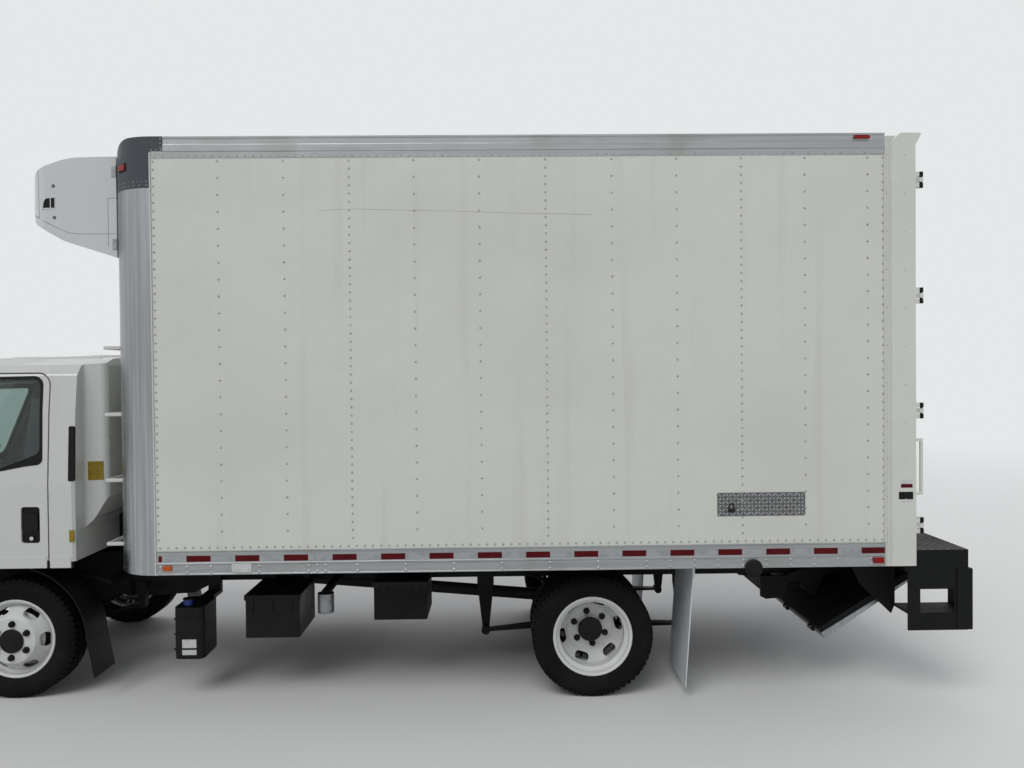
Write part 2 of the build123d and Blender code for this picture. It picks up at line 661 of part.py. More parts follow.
door_bottom = floor_top + 5.0
door_top = box_top - header_height - 5.0
post_inner_y = box_half_width - post_width
grab_low, grab_high = 1335.0, 1677.0
grab_y = box_half_width - 14.0
with BuildPart() as cargo_rear_frame:
    block(post_x, box_rear_x, -box_half_width, box_half_width, box_bottom, box_top)
    block(post_x - 1, box_rear_x + 1, -post_inner_y, post_inner_y, floor_top,
          box_top - header_height, Mode.SUBTRACT)
    # The header's lip sheds rain clear of the doors; a gusset holds it at each end.
    side_slab(((box_rear_x - 1, box_top - 12), (box_rear_x + 34, box_top - 10),
               (box_rear_x + 34, box_top - 2), (box_rear_x - 1, box_top)),
              -box_half_width, box_half_width)
    both_slabs(((box_rear_x - 1, box_top - 78), (box_rear_x + 34, box_top - 12),
                (box_rear_x + 34, box_top - 2), (box_rear_x - 1, box_top)),
               box_half_width - 10, box_half_width)
    # The side of the frame steps down to the roof rail, over a strip with two ribs.
    both_slabs(((post_x - 1, box_top + 1), (post_x - 1, box_top - 44), (post_x + 49, box_top - 44),
                (post_x + 103, box_top), (post_x + 103, box_top + 1)),
               box_half_width - 70, box_half_width + 1, Mode.SUBTRACT)
    for low, high in ((7, 13), (20, 27), (34, 41)):
        both_blocks(post_x + low, post_x + high, band_y, box_half_width + 1,
                    box_bottom - 1, box_top, Mode.SUBTRACT)
    for side in (-1, 1):
        for z in door_hinge_heights:
            block(box_rear_x - 1, box_rear_x + 6, side * (post_inner_y + 29),
                  side * box_half_width, z - 50, z + 50)
            for low, high in ((z - 50, z - 20), (z + 20, z + 50)):
                block(box_rear_x, door_hinge_x, side * (door_hinge_y - 12),
                      side * (door_hinge_y + 7), low, high)
                rod_z(door_hinge_x, side * door_hinge_y, low, high, hinge_knuckle_radius)
            rod_z(door_hinge_x, side * door_hinge_y, z - 50, z + 50, hinge_pin_radius)
        # Grab handle beside the doorway.
        for z in (grab_low, grab_high):
            block(box_rear_x - 1, box_rear_x + 46, side * (grab_y - 9), side * (grab_y + 9),
                  z - 9, z + 9)
        block(box_rear_x + 30, box_rear_x + 46, side * (grab_y - 9), side * (grab_y + 9),
              grab_low - 5, grab_high + 5)
save(cargo_rear_frame, "cargo_rear_frame")

for label, side in (("cargo_door_left", -1), ("cargo_door_right", 1)):
    with BuildPart() as cargo_door:
        outer_x = box_rear_x - 6
        with BuildSketch(Plane.XY.offset(door_bottom)) as door_plan:
            with BuildLine():
                Polyline((outer_x - door_wall, side * 12),
                         (outer_x - door_wall, side * (post_inner_y - 11)),
                         (outer_x, side * (post_inner_y - 6)), (outer_x, side * 4), close=True)
            make_face()
        extrude(door_plan.sketch, amount=door_top - door_bottom)
        for z in door_hinge_heights:
            block(outer_x - 1, outer_x + 18, side * (post_inner_y - 21),
                  side * (post_inner_y - 131), z - 14, z + 14)
            block(outer_x + 17, outer_x + 30, side * door_hinge_y,
                  side * (post_inner_y - 131), z - 14, z + 14)
            rod_z(door_hinge_x, side * door_hinge_y, z - 14, z + 14, hinge_knuckle_radius)
            rod_z(door_hinge_x, side * door_hinge_y, z - 15, z + 15,
                  hinge_pin_radius + pin_play, Mode.SUBTRACT)
        # Lock rod, its guides and its handle.
        rod_z(outer_x + 20, side * 240, door_bottom + 20, door_top - 20, 13)
        for z in (1060, 1500, 2100, 2700, box_top - 220):
            block(outer_x - 1, outer_x + 38, side * 205, side * 275, z - 25, z + 25)
        block(outer_x + 12, outer_x + 34, side * 240, side * 700, 1390, 1420)
        block(outer_x - 1, outer_x + 34, side * 640, side * 690, 1375, 1435)
    save(cargo_door, label)

# Refrigeration unit and evaporator
reefer_half_width = 1000.0
reefer_rear_x = box_front_x - seat_gap
# Side view of the hood: x, drop from the box's top, corner radius.
reefer_side = ((reefer_rear_x, 67, 0), (430, 72, 500), (165, 165, 110), (100, 345, 60),
               (160, 472, 110), (400, 612, 400), (reefer_rear_x, 722, 0))
reefer_seam = 4.0
# Joints of the hood's panels in the side view: x, drop at each end, and their depth line.
reefer_joints = ((224, 150, 230, 455, 945), (137, 414, 232, 459, 840), (232, 457, 320, 508, 990),
                 (320, 508, 428, 558, 995), (428, 558, 505, 567, 995),
                 (505, 567, reefer_rear_x, 567, 995), (686, 337, 686, 647, 995),
                 (686, 337, reefer_rear_x, 335, 995))
grille_low, grille_high, grille_half = box_top - 425, box_top - 235, 620.0
with BuildPart() as reefer_unit:
    rounded_slab([(x, box_top - drop, r) for x, drop, r in reefer_side],
                 -reefer_half_width, reefer_half_width)
    with BuildSketch(Plane.XY.offset(box_top - 820)) as hood_plan:
        with BuildLine():
            side_y = reefer_half_width + 10
            FilletPolyline((box_front_x + 10, -side_y), (230, -side_y), (90, -780), (90, 780),
                           (230, side_y), (box_front_x + 10, side_y),
                           radius=(0, 200, 150, 150, 200, 0), close=True)
        make_face()
    extrude(hood_plan.sketch, amount=900, mode=Mode.INTERSECT)
    for x0, drop0, x1, drop1, depth_y in reefer_joints:
        run = ((x1 - x0) ** 2 + (drop1 - drop0) ** 2) ** 0.5
        off_x = reefer_seam / 2 * (drop1 - drop0) / run
        off_z = reefer_seam / 2 * (x1 - x0) / run
        both_slabs(((x0 - off_x, box_top - drop0 - off_z), (x1 - off_x, box_top - drop1 - off_z),
                    (x1 + off_x, box_top - drop1 + off_z), (x0 + off_x, box_top - drop0 + off_z)),
                   depth_y, reefer_half_width + 1, Mode.SUBTRACT)
    # The condenser's grille in the nose.
    block(80, 160, -grille_half, grille_half, grille_low, grille_high, Mode.SUBTRACT)
    for step in range(1, 7):
        z = grille_low + (grille_high - grille_low) * step / 7
        side_slab(((118, z - 3), (162, z + 8), (162, z + 12), (118, z + 1)),
                  -grille_half - 1, grille_half + 1)
    for y in (-200, 200):
        block(122, 162, y - 4, y + 4, grille_low - 1, grille_high + 1)
save(reefer_unit, "reefer_unit")

with BuildPart() as evaporator:
    side_slab(((box_front_x + front_wall + seat_gap, wall_top - seat_gap),
               (box_front_x + front_wall + seat_gap, box_top - 440), (1080, box_top - 440),
               (1250, box_top - 290),
               (1250, wall_top - seat_gap)), -700, 700)
save(evaporator, "evaporator")

with BuildPart() as nose_steps:
    for z in (1027, 1445, 1877, 2315):
        for y in (-955, -705):
            block(625, box_front_x - seat_gap, y - 12, y + 12, z - 12, z + 12)
        block(625, 649, -966, -694, z - 12, z + 12)
save(nose_steps, "nose_steps")

# Rear deck, steps, dock bumpers, mud flaps
window_x0, window_x1, window_z0, window_z1 = step_window
tail_lamp_y, tail_lamp_z = step_outer_y - 105, deck_bottom - 52
tail_lamp_long, tail_lamp_high, lamp_gap = 120.0, 56.0, 0.5


def tail_lamp_shape(side, grown, mode=Mode.ADD):
    """An upright oval plate in the step's rear plate."""
    with BuildSketch(Plane.YZ.offset(deck_rear_x - step_plate)) as oval:
        with Locations((side * tail_lamp_y, tail_lamp_z)):
            SlotOverall(tail_lamp_long + 2 * grown, tail_lamp_high + 2 * grown)
    extrude(oval.sketch, amount=step_plate, mode=mode)


with BuildPart() as rear_steps:
    block(box_rear_x + seat_gap, deck_rear_x, -step_outer_y, step_outer_y,
          deck_bottom, deck_top)
    block(box_rear_x + seat_gap, box_rear_x + 8, -380, 380, box_bottom + 5, deck_bottom + 1)
    for side in (-1, 1):
        outer = side * step_outer_y
        block(step_front_x, deck_rear_x, outer, outer - side * step_plate,
              step_bottom, box_bottom - seat_gap)
        block(box_rear_x + seat_gap, deck_rear_x, outer, outer - side * step_plate,
              box_bottom - 2, deck_bottom + 1)
        block(window_x0, window_x1, outer + side, outer - side * (step_plate + 1),
              window_z0, window_z1, Mode.SUBTRACT)
        block(step_front_x, deck_rear_x, outer, side * step_inner_y,
              window_z0 - step_plate, window_z0)
        block(deck_rear_x - step_plate, deck_rear_x, outer, side * step_inner_y,
              step_bottom, deck_bottom + 1)
        tail_lamp_shape(side, lamp_gap, Mode.SUBTRACT)
        # Plates that hang the step boxes under the box body.
        side_slab(((5520, box_bottom - seat_gap), (box_rear_x - 20, box_bottom - seat_gap),
                   (box_rear_x - 20, window_z0 - step_plate), (step_front_x, 500),
                   (5600, 700)), side * step_inner_y, side * (step_inner_y - 10))
        for x, z, radius in ((5870, 717, 7), (5868, 625, 17), (5868, 655, 6), (5868, 595, 6)):
            rod_y(x, z, side * (step_inner_y - 20), side * (step_inner_y + 10), radius,
                  Mode.SUBTRACT)
        block(5790, box_rear_x - 20, side * (step_inner_y - 10), outer,
              box_bottom - 40, box_bottom - seat_gap)
        block(step_front_x, box_rear_x - 20, side * (step_inner_y - 10), outer,
              window_z0 - step_plate, window_z0)
save(rear_steps, "rear_steps")

# Lamps on the rails, in the steps' rear plates and along the header.
lamp_depth = 3.0
header_lamp_z = box_top - 98.0
with BuildPart() as marker_lamps:
    for side in (-1, 1):
        for x0, x1, low, high in ((1093, 1148, 28, 60), (5581, 5648, 20, 57)):
            block(x0, x1, side * (band_y + seat_gap), side * (band_y + lamp_depth),
                  box_bottom + low, box_bottom + high)
        tail_lamp_shape(side, 0)
    for y in (-1150, -180, 0, 180, 1150):
        with BuildSketch(Plane.YZ.offset(box_rear_x + seat_gap)) as oval:
            with Locations((y, header_lamp_z)):
                SlotOverall(70, 24)
        extrude(oval.sketch, amount=12)
save(marker_lamps, "marker_lamps")

pad_low, pad_high = 460.0, 852.0
with BuildPart() as dock_bumpers:
    for side in (-1, 1):
        block(deck_rear_x + seat_gap, rear_reach, side * (step_inner_y + 15),
              side * (step_outer_y + 8), pad_low, pad_high)
        block(window_x1 + 14, rear_reach, side * (step_outer_y + seat_gap),
              side * (step_outer_y + 8), pad_low, pad_high)
save(dock_bumpers, "dock_bumpers")

with BuildPart() as mud_flaps:
    for side in (-1, 1):
        side_slab([(wheelbase + along, z) for along, z in
                   ((589, 78), (597, 78), (649, 800), (641, 800))], side * 600, side * 1110)
        block(wheelbase + 637, wheelbase + 653, side * 560, side * 1130, 795,
              box_bottom - seat_gap)
save(mud_flaps, "mud_flaps")

# Tail-lift
arm_inner_y, arm_outer_y = 454.0, 490.0
link_inner_y, link_outer_y = 432.0, 446.0
shackle_inner_y, shackle_outer_y = 497.0, 512.0
ear_inner_y, ear_outer_y = 518.0, 538.0
arm_pin_radius = 20.0
link_pin_radius = 10.0
hinge_radius = 15.0
drop_x = link_drop * cos(radians(link_drop_angle))
drop_z = link_drop * sin(radians(link_drop_angle))
arm_dx = lift_hinge_x - lift_pivot_x
arm_dz = lift_hinge_z - lift_pivot_z
arm_length = (arm_dx ** 2 + arm_dz ** 2) ** 0.5
arm_ux, arm_uz = arm_dx / arm_length, arm_dz / arm_length


def along_arm(along, across):
    """A side-view point, measured along the arm and upward across it."""
    return (lift_pivot_x + along * arm_ux - across * arm_uz,
            lift_pivot_z + along * arm_uz + across * arm_ux)


with BuildPart() as lift_mount:
    block(5080, 5180, -shackle_outer_y, shackle_outer_y, 546, frame_bottom - seat_gap)
    both_slabs(((5080, 500), (5080, frame_bottom - seat_gap), (5260, frame_bottom - seat_gap),
                (5275, 560), (5250, 490), (5120, 480)), shackle_inner_y, shackle_outer_y)
    both_blocks(5085, 5175, web_face, web_face + 12, 600, 760)
    for side in (-1, 1):
        rod_y(lift_pivot_x, lift_pivot_z, side * (arm_inner_y - 2), side * shackle_outer_y,
              arm_pin_radius)
        rod_y(lift_pivot_x + drop_x, lift_pivot_z + drop_z, side * (link_inner_y - 2),
              side * shackle_outer_y, link_pin_radius)
save(lift_mount, "lift_mount")

tube_x, tube_z = along_arm(190, -136)
with BuildPart() as lift_arms:
    for side in (-1, 1):
        for x, z, radius in ((lift_pivot_x, lift_pivot_z, 40), (lift_hinge_x, lift_hinge_z, 34)):
            rod_y(x, z, side * arm_inner_y, side * arm_outer_y, radius)
        side_slab((along_arm(0, -32), along_arm(120, -32), along_arm(160, -150),
                   along_arm(220, -150), along_arm(330, -34), along_arm(arm_length, -26),
                   along_arm(arm_length, 26), along_arm(0, 36)),
                  side * arm_inner_y, side * arm_outer_y)
    rod_y(tube_x, tube_z, -arm_outer_y, arm_outer_y, 30)
    for side in (-1, 1):
        rod_y(lift_pivot_x, lift_pivot_z, side * (arm_inner_y - 1), side * (arm_outer_y + 1),
              arm_pin_radius + pin_play, Mode.SUBTRACT)
        rod_y(lift_hinge_x, lift_hinge_z, side * (arm_inner_y - 1), side * (arm_outer_y + 1),
              hinge_radius + pin_play, Mode.SUBTRACT)
save(lift_arms, "lift_arms")

with BuildPart() as lift_links:
    for side in (-1, 1):
        for x, z in ((lift_pivot_x, lift_pivot_z), (lift_hinge_x, lift_hinge_z)):
            rod_y(x + drop_x, z + drop_z, side * link_inner_y, side * link_outer_y, 18)
        side_slab([(px + drop_x, pz + drop_z) for px, pz in
                   (along_arm(0, -15), along_arm(arm_length, -15),
                    along_arm(arm_length, 15), along_arm(0, 15))],
                  side * link_inner_y, side * link_outer_y)
        for x, z in ((lift_pivot_x, lift_pivot_z), (lift_hinge_x, lift_hinge_z)):
            rod_y(x + drop_x, z + drop_z, side * (link_inner_y - 1), side * (link_outer_y + 1),
                  link_pin_radius + pin_play, Mode.SUBTRACT)
save(lift_links, "lift_links")

with BuildPart() as lift_shackles:
    for side in (-1, 1):
        for x, z, radius in ((lift_hinge_x, lift_hinge_z, 30),
                             (lift_hinge_x + drop_x, lift_hinge_z + drop_z, 18)):
            rod_y(x, z, side * shackle_inner_y, side * shackle_outer_y, radius)
        side_slab(((lift_hinge_x - 26, lift_hinge_z), (lift_hinge_x + 26, lift_hinge_z),
                   (lift_hinge_x + drop_x + 17, lift_hinge_z + drop_z),
                   (lift_hinge_x + drop_x - 17, lift_hinge_z + drop_z)),
                  side * shackle_inner_y, side * shackle_outer_y)
        rod_y(lift_hinge_x, lift_hinge_z, side * (arm_inner_y - 2), side * (ear_outer_y + 3),
              hinge_radius)
        rod_y(lift_hinge_x + drop_x, lift_hinge_z + drop_z, side * (link_inner_y - 2),
              side * shackle_outer_y, link_pin_radius)
save(lift_shackles, "lift_shackles")

fold_cos = cos(radians(-lift_fold))
fold_sin = sin(radians(-lift_fold))


def on_platform(along, above):
    """A side-view point on the folded platform: along it, and above its plane."""
    return (lift_hinge_x + along * fold_cos - above * fold_sin,
            lift_hinge_z + along * fold_sin + above * fold_cos)


platform_high = platform_low + platform_thick
flap_hinge_v = platform_high + flap_hinge_gap
flap_end = platform_end
with BuildPart() as lift_platform:
    side_slab((on_platform(platform_start, platform_low),
               on_platform(platform_end, platform_low + 15),
               on_platform(platform_end, platform_high),
               on_platform(platform_start, platform_high)),
              -platform_half_width, platform_half_width)
    for side in (-1, 1):
        # A slot lets the folded platform pass the link.
        side_slab((on_platform(platform_start - 1, platform_low - 1),
                   on_platform(platform_start + 190, platform_low - 1),
                   on_platform(platform_start + 190, platform_high + 1),
                   on_platform(platform_start - 1, platform_high + 1)),
                  side * (link_inner_y - 12), side * (link_outer_y + 12), Mode.SUBTRACT)
        side_slab((on_platform(-20, -22), on_platform(20, -28), on_platform(240, platform_low + 2),
                   on_platform(platform_start + 1, platform_low + 10),
                   on_platform(platform_start - 8, platform_low), on_platform(10, 26),
                   on_platform(-20, 22)),
                  side * ear_inner_y, side * ear_outer_y)
        rod_y(lift_hinge_x, lift_hinge_z, side * ear_inner_y, side * ear_outer_y, 30)
        rod_y(lift_hinge_x, lift_hinge_z, side * (ear_inner_y - 1), side * (ear_outer_y + 1),
              hinge_radius + pin_play, Mode.SUBTRACT)
    flap_pin_x, flap_pin_z = on_platform(flap_hinge_u, flap_hinge_v)
    for y in (-760, -260, 260, 760):
        for low in (y - 40, y + 22):
            rod_y(flap_pin_x, flap_pin_z, low, low + 18, 12)
            side_slab((on_platform(platform_end - 1, platform_high - 20),
                       on_platform(flap_hinge_u + 6, platform_high - 8),
                       on_platform(flap_hinge_u + 8, flap_hinge_v),
                       on_platform(flap_hinge_u - 8, flap_hinge_v),
                       on_platform(platform_end - 1, platform_high - 1)), low, low + 18)
        rod_y(flap_pin_x, flap_pin_z, y - 40, y + 40, 6)
save(lift_platform, "lift_platform")

with BuildPart() as lift_flap:
    flap_low = flap_hinge_v + flap_hinge_gap
    side_slab((on_platform(flap_start, flap_low), on_platform(flap_end, flap_low),
               on_platform(flap_end, flap_low + platform_thick),
               on_platform(flap_start, flap_low + 12)),
              -platform_half_width, platform_half_width)
    for y in (-760, -260, 260, 760):
        rod_y(flap_pin_x, flap_pin_z, y - 15, y + 15, 12)
        side_slab((on_platform(flap_end - 1, flap_low), on_platform(flap_hinge_u, flap_low),
                   on_platform(flap_hinge_u + 9, flap_low + 6), on_platform(flap_hinge_u, flap_low + 10),
                   on_platform(flap_end - 1, flap_low + 14)),
                  y - 15, y + 15)
        rod_y(flap_pin_x, flap_pin_z, y - 16, y + 16, 6 + pin_play, Mode.SUBTRACT)
save(lift_flap, "lift_flap")

# Cab
# Outlines of the cab: two coordinates and a corner radius.
cab_side_view = ((-1165, 712, 12), (-1175, 1100, 200), (-1150, 1370, 200), (-800, 2110, 200),
                 (-700, 2195, 60), (-450, 2262, 300), (440, 2290, 100), (560, 2268, 40),
                 (cab_rear_x, 2200, 40), (cab_rear_x, 1330, 60), (cab_corner_x + 60, 1180, 60),
                 (cab_corner_x, 1120, 0), (cab_corner_x, cab_floor, 0), (-1130, cab_floor, 0),
                 (-1120, 712, 0))
cab_front_half = ((cab_half_width, 1420, 600), (985, 1900, 600), (955, 2140, 40), (900, 2205, 60),
                  (700, 2250, 300))
# The plan stands a little outside the other two views, so that no two of them touch edge to edge.
plan_side_y, plan_rear_x = cab_half_width + 1, cab_rear_x + 2
cab_plan_half = ((-1175, 760, 300), (-1150, 900, 100), (-1080, 985, 100),
                 (-980, plan_side_y, 150), (cab_corner_x - 20, plan_side_y, 12),
                 (cab_corner_x, 1000, 5), (cab_corner_x + 6, 880, 25), (plan_rear_x, 850, 60))
cab_front_view = ([(-cab_half_width, 600, 0)] + [(-y, z, r) for y, z, r in cab_front_half]
                  + [(0, 2290, 0)] + [(y, z, r) for y, z, r in cab_front_half[::-1]]
                  + [(cab_half_width, 600, 0)])
cab_plan_view = ([(x, y, r) for x, y, r in cab_plan_half]
                 + [(x, -y, r) for x, y, r in cab_plan_half[::-1]])


def cab_body(inset):
    """The cab's outer shape, shrunk evenly by the inset."""
    with BuildPart() as body:
        for corners, plane, amount, both, mode in (
                (cab_side_view, Plane.XZ, 1200, True, Mode.ADD),
                (cab_front_view, Plane.YZ, 1400, True, Mode.INTERSECT),
                (cab_plan_view, Plane.XY, 2500, False, Mode.INTERSECT)):
            with BuildSketch(plane) as view:
                with BuildLine():
                    FilletPolyline(*[(u, v) for u, v, r in corners],
                                   radius=[r for u, v, r in corners], close=True)
                make_face()
                if inset:
                    offset(amount=-inset, kind=Kind.ARC, mode=Mode.REPLACE)
            extrude(view.sketch, amount=amount, both=both, mode=mode)
    return body.part


cab_outer = cab_body(0)
cab_inner = cab_body(cab_wall)
door_inner = cab_body(62)

# The doorway's outline in the side view, and the door's, set in by the gap.
door_top_radius = 80.0
doorway = ((cab_door_front_x - cab_door_gap, cab_floor - 6, 0),
           (cab_door_front_x - cab_door_gap, 1330, 0),
           (-640 - cab_door_gap, 2110, 0), (-560, 2158, 0),
           (cab_door_rear_x + cab_door_gap, 2158, door_top_radius + cab_door_gap),
           (cab_door_rear_x + cab_door_gap, cab_floor - 6, 0))
pillar_step = ((cab_door_front_x - 8, 1325), (cab_door_front_x - 20, 1345),
               (-640 - 22, 2090), (-640 - 8, 2090))
door_outline = ((cab_door_front_x, cab_floor + 8, 0), (cab_door_front_x, 1332, 0),
                (-634, 2106, 0), (-556, 2149, 0), (cab_door_rear_x, 2149, door_top_radius),
                (cab_door_rear_x, cab_floor + 8, 0))
window_outline = ((-735, 1480, 40), (-575, 2105, 60), (212, 2118, 55), (218, 1635, 45),
                  (120, 1592, 60), (-60, 1530, 60))
handle_recess = ((98, 1048, 20), (98, 1284, 20), (220, 1284, 20), (220, 1048, 20))
windshield_view = ((-850, 1420), (-790, 2080), (790, 2080), (850, 1420))

cab_floor_top = cab_floor + cab_wall
step_front, step_rear = -1050.0, -560.0
step_inner = 660.0
grille_back_x = -1138.0
with BuildPart() as cab_shell:
    add(cab_outer)
    add(cab_inner, mode=Mode.SUBTRACT)
    for side in (-1, 1):
        rounded_slab(doorway, side * 880, side * 1100, Mode.SUBTRACT)
        # The door's outer skin laps the pillar, so the pillar steps back there.
        side_slab(pillar_step, side * (cab_half_width - 17), side * 1100, Mode.SUBTRACT)
        block(cab_door_front_x - cab_door_gap - 1, cab_door_rear_x + cab_door_gap + 1,
              side * 870, side * 946, cab_floor, cab_floor + cab_wall)
    with BuildSketch(Plane.YZ.offset(-1250)) as windshield_hole:
        with BuildLine():
            Polyline(*windshield_view, close=True)
        make_face()
    extrude(windshield_hole.sketch, amount=500, mode=Mode.SUBTRACT)
    block(cab_rear_x - 80, cab_rear_x + 10, -420, 420, 1640, 2000, Mode.SUBTRACT)
    # The grille under the windscreen, and a vent slot in each rear corner.
    block(-1200, grille_back_x, -640, 640, 985, 1130, Mode.SUBTRACT)
    for step in range(1, 5):
        z = 985 + 145 * step / 5
        block(grille_back_x - 22, grille_back_x + 1, -641, 641, z - 5, z + 5)
    both_blocks(cab_corner_x - 21, cab_corner_x + 10, 985, cab_half_width + 5, 1455, 1801,
                Mode.SUBTRACT)
    # The tunnel over the engine.
    block(-700, cab_rear_x - 10, -380, 380, cab_floor, 1180)
    block(-660, cab_rear_x + 10, -340, 340, cab_floor - 10, 1136, Mode.SUBTRACT)
    # Open steps ahead of the front wheels.
    for side in (-1, 1):
        outer = side * 1000
        block(step_front, step_rear, side * step_inner, outer, 560, 580)
        block(step_front, step_rear, side * step_inner, side * (step_inner + 12),
              560, cab_floor + 1)
        block(step_front, step_front + 12, side * step_inner, outer, 560, cab_floor + 1)
        block(step_rear - 12, step_rear, side * step_inner, outer, 560, cab_floor + 1)
        # Tilt brackets beside the frame's lugs.
        side_slab(((cab_pivot_x - 20, cab_pivot_z - 30), (cab_pivot_x + 40, cab_pivot_z - 30),
                   (cab_pivot_x + 130, cab_floor + 10), (cab_pivot_x + 10, cab_floor + 10),
                   (cab_pivot_x - 24, cab_pivot_z + 60)), side * 441, side * 458)
        rod_y(cab_pivot_x, cab_pivot_z, side * 405, side * 458, 15)
        # The front skin is notched where it swings past the frame's lugs.
        block(-1180, -1105, side * 405, side * 440, 700, 752, Mode.SUBTRACT)
        # Door hinges: an arm and its pin on the door pillar.
        for z in cab_hinge_heights:
            block(cab_door_front_x - 25, cab_hinge_x, side * (cab_hinge_y - 5),
                  side * (cab_hinge_y + 5), z - 12, z + 12)
            rod_z(cab_hinge_x, side * cab_hinge_y, z - 12, z + 12, cab_hinge_knuckle)
            rod_z(cab_hinge_x, side * cab_hinge_y, z - 40, z + 40, cab_hinge_pin)
save(cab_shell, "cab_shell")

for label, side in (("cab_door_left", -1), ("cab_door_right", 1)):
    with BuildPart() as cab_door:
        add(cab_outer)
        add(door_inner, mode=Mode.SUBTRACT)
        rounded_slab(door_outline, side * 880, side * 1100, Mode.INTERSECT)
        block(cab_door_front_x - 10, cab_door_rear_x + 10, side * 870, side * 953,
              cab_floor, cab_floor_top + 20, Mode.SUBTRACT)
        rounded_slab(window_outline, side * 880, side * 1100, Mode.SUBTRACT)
        rounded_slab(handle_recess, side * (cab_half_width - 20), side * 1100, Mode.SUBTRACT)
        for z in cab_hinge_heights:
            block(cab_door_front_x - 5, cab_hinge_x + 16, side * (cab_hinge_y - 16),
                  side * 1030, z - 17, z + 17, Mode.SUBTRACT)
            rod_z(cab_hinge_x, side * cab_hinge_y, z - 41, z + 41,
                  cab_hinge_pin + pin_play, Mode.SUBTRACT)
    save(cab_door, label)

windshield_pane = cab_body(20)
windshield_back = cab_body(26)
with BuildPart() as cab_glass:
    add(windshield_pane)
    add(windshield_back, mode=Mode.SUBTRACT)
    with BuildSketch(Plane.YZ.offset(-1250)) as pane:
        with BuildLine():
            Polyline(*windshield_view, close=True)
        make_face()
        offset(amount=-seat_gap, mode=Mode.REPLACE)
    extrude(pane.sketch, amount=500, mode=Mode.INTERSECT)
    block(cab_rear_x - 30, cab_rear_x - 25, -420 + seat_gap, 420 - seat_gap,
          1640 + seat_gap, 2000 - seat_gap)
save(cab_glass, "cab_glass")

for label, side in (("door_glass_left", -1), ("door_glass_right", 1)):
    with BuildPart() as door_glass:
        add(windshield_pane)
        add(windshield_back, mode=Mode.SUBTRACT)
        with BuildSketch(Plane.XZ.offset(-min(side * 880, side * 1100))) as pane:
            with BuildLine():
                FilletPolyline(*[(x, z) for x, z, r in window_outline],
                               radius=[r for x, z, r in window_outline], close=True)
            make_face()
            offset(amount=-seat_gap, mode=Mode.REPLACE)
        extrude(pane.sketch, amount=-220, mode=Mode.INTERSECT)
    save(door_glass, label)

tunnel_top = 1180.0
with BuildPart() as seats:
    for y0, y1 in ((-850, -390), (330, 850)):
        block(-400, 60, y0 + 60, y1 - 60, cab_floor_top + seat_gap, 1262)
        side_slab(((-450, 1260), (90, 1260), (190, 1990), (90, 1990), (0, 1400), (-440, 1390)),
                  y0, y1)
    side_slab(((-400, tunnel_top + seat_gap), (80, tunnel_top + seat_gap), (190, 1900),
               (100, 1900), (10, 1370), (-400, 1360)), -330, 270)
save(seats, "seats")

with BuildPart() as dashboard:
    side_slab(((-1060, 1180), (-900, 1100), (-820, 1180), (-800, 1330), (-860, 1390),
               (-1050, 1390)), -840, 840)
    both_blocks(-1060, -1000, 400, 440, cab_floor_top + seat_gap, 1200)
    wheel_plane = Plane(origin=(-700, -560, 1440), z_dir=(cos(radians(55)), 0, sin(radians(55))))
    with BuildSketch(wheel_plane) as steering_rim:
        Circle(215)
        Circle(190, mode=Mode.SUBTRACT)
        Rectangle(400, 40)
        Circle(60)
    extrude(steering_rim.sketch, amount=24)
    with BuildSketch(wheel_plane) as column:
        Circle(28)
    extrude(column.sketch, amount=-260)
save(dashboard, "dashboard")

lamp_outer = cab_body(-10)
lamp_inner = cab_body(-seat_gap)
with BuildPart() as headlamps:
    add(lamp_outer)
    add(lamp_inner, mode=Mode.SUBTRACT)
    with BuildSketch(Plane.YZ.offset(-1300)) as lamp_view:
        for side in (-1, 1):
            with BuildLine():
                Polyline((side * 600, 770), (side * 960, 780), (side * 960, 905),
                         (side * 620, 890), close=True)
            make_face()
    extrude(lamp_view.sketch, amount=400, mode=Mode.INTERSECT)
save(headlamps, "headlamps")

with BuildPart() as mirrors:
    for side in (-1, 1):
        base = side * (cab_half_width + seat_gap)
        block(-960, -905, base, side * 1030, 1200, 1380)
        block(-945, -920, side * 1020, side * 1150, 1285, 1310)
        rod_z(-932, side * 1140, 1290, 1930, 12)
        block(-990, -925, side * 1110, side * 1330, 1500, 1880)
save(mirrors, "mirrors")

with BuildPart() as cab_sills:
    both_blocks(-480, 430, 992, 1012, 880, cab_floor - seat_gap)
save(cab_sills, "cab_sills")
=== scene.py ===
# %% [markdown]
# # A refrigerated truck, dressed for a picture
# The rigid shapes of this truck come from its CAD model, which is loaded below.
# What is left for Blender is what makes it look real: paint, brushed metal and
# rubber, rivets and bolts, lamps, tyre tread, glass and the seats in the cab.
# Each step has a note like this one and then a short piece of code.

# %% Load the frame
import json
import math

import bmesh
import bpy
from mathutils import Matrix, Vector


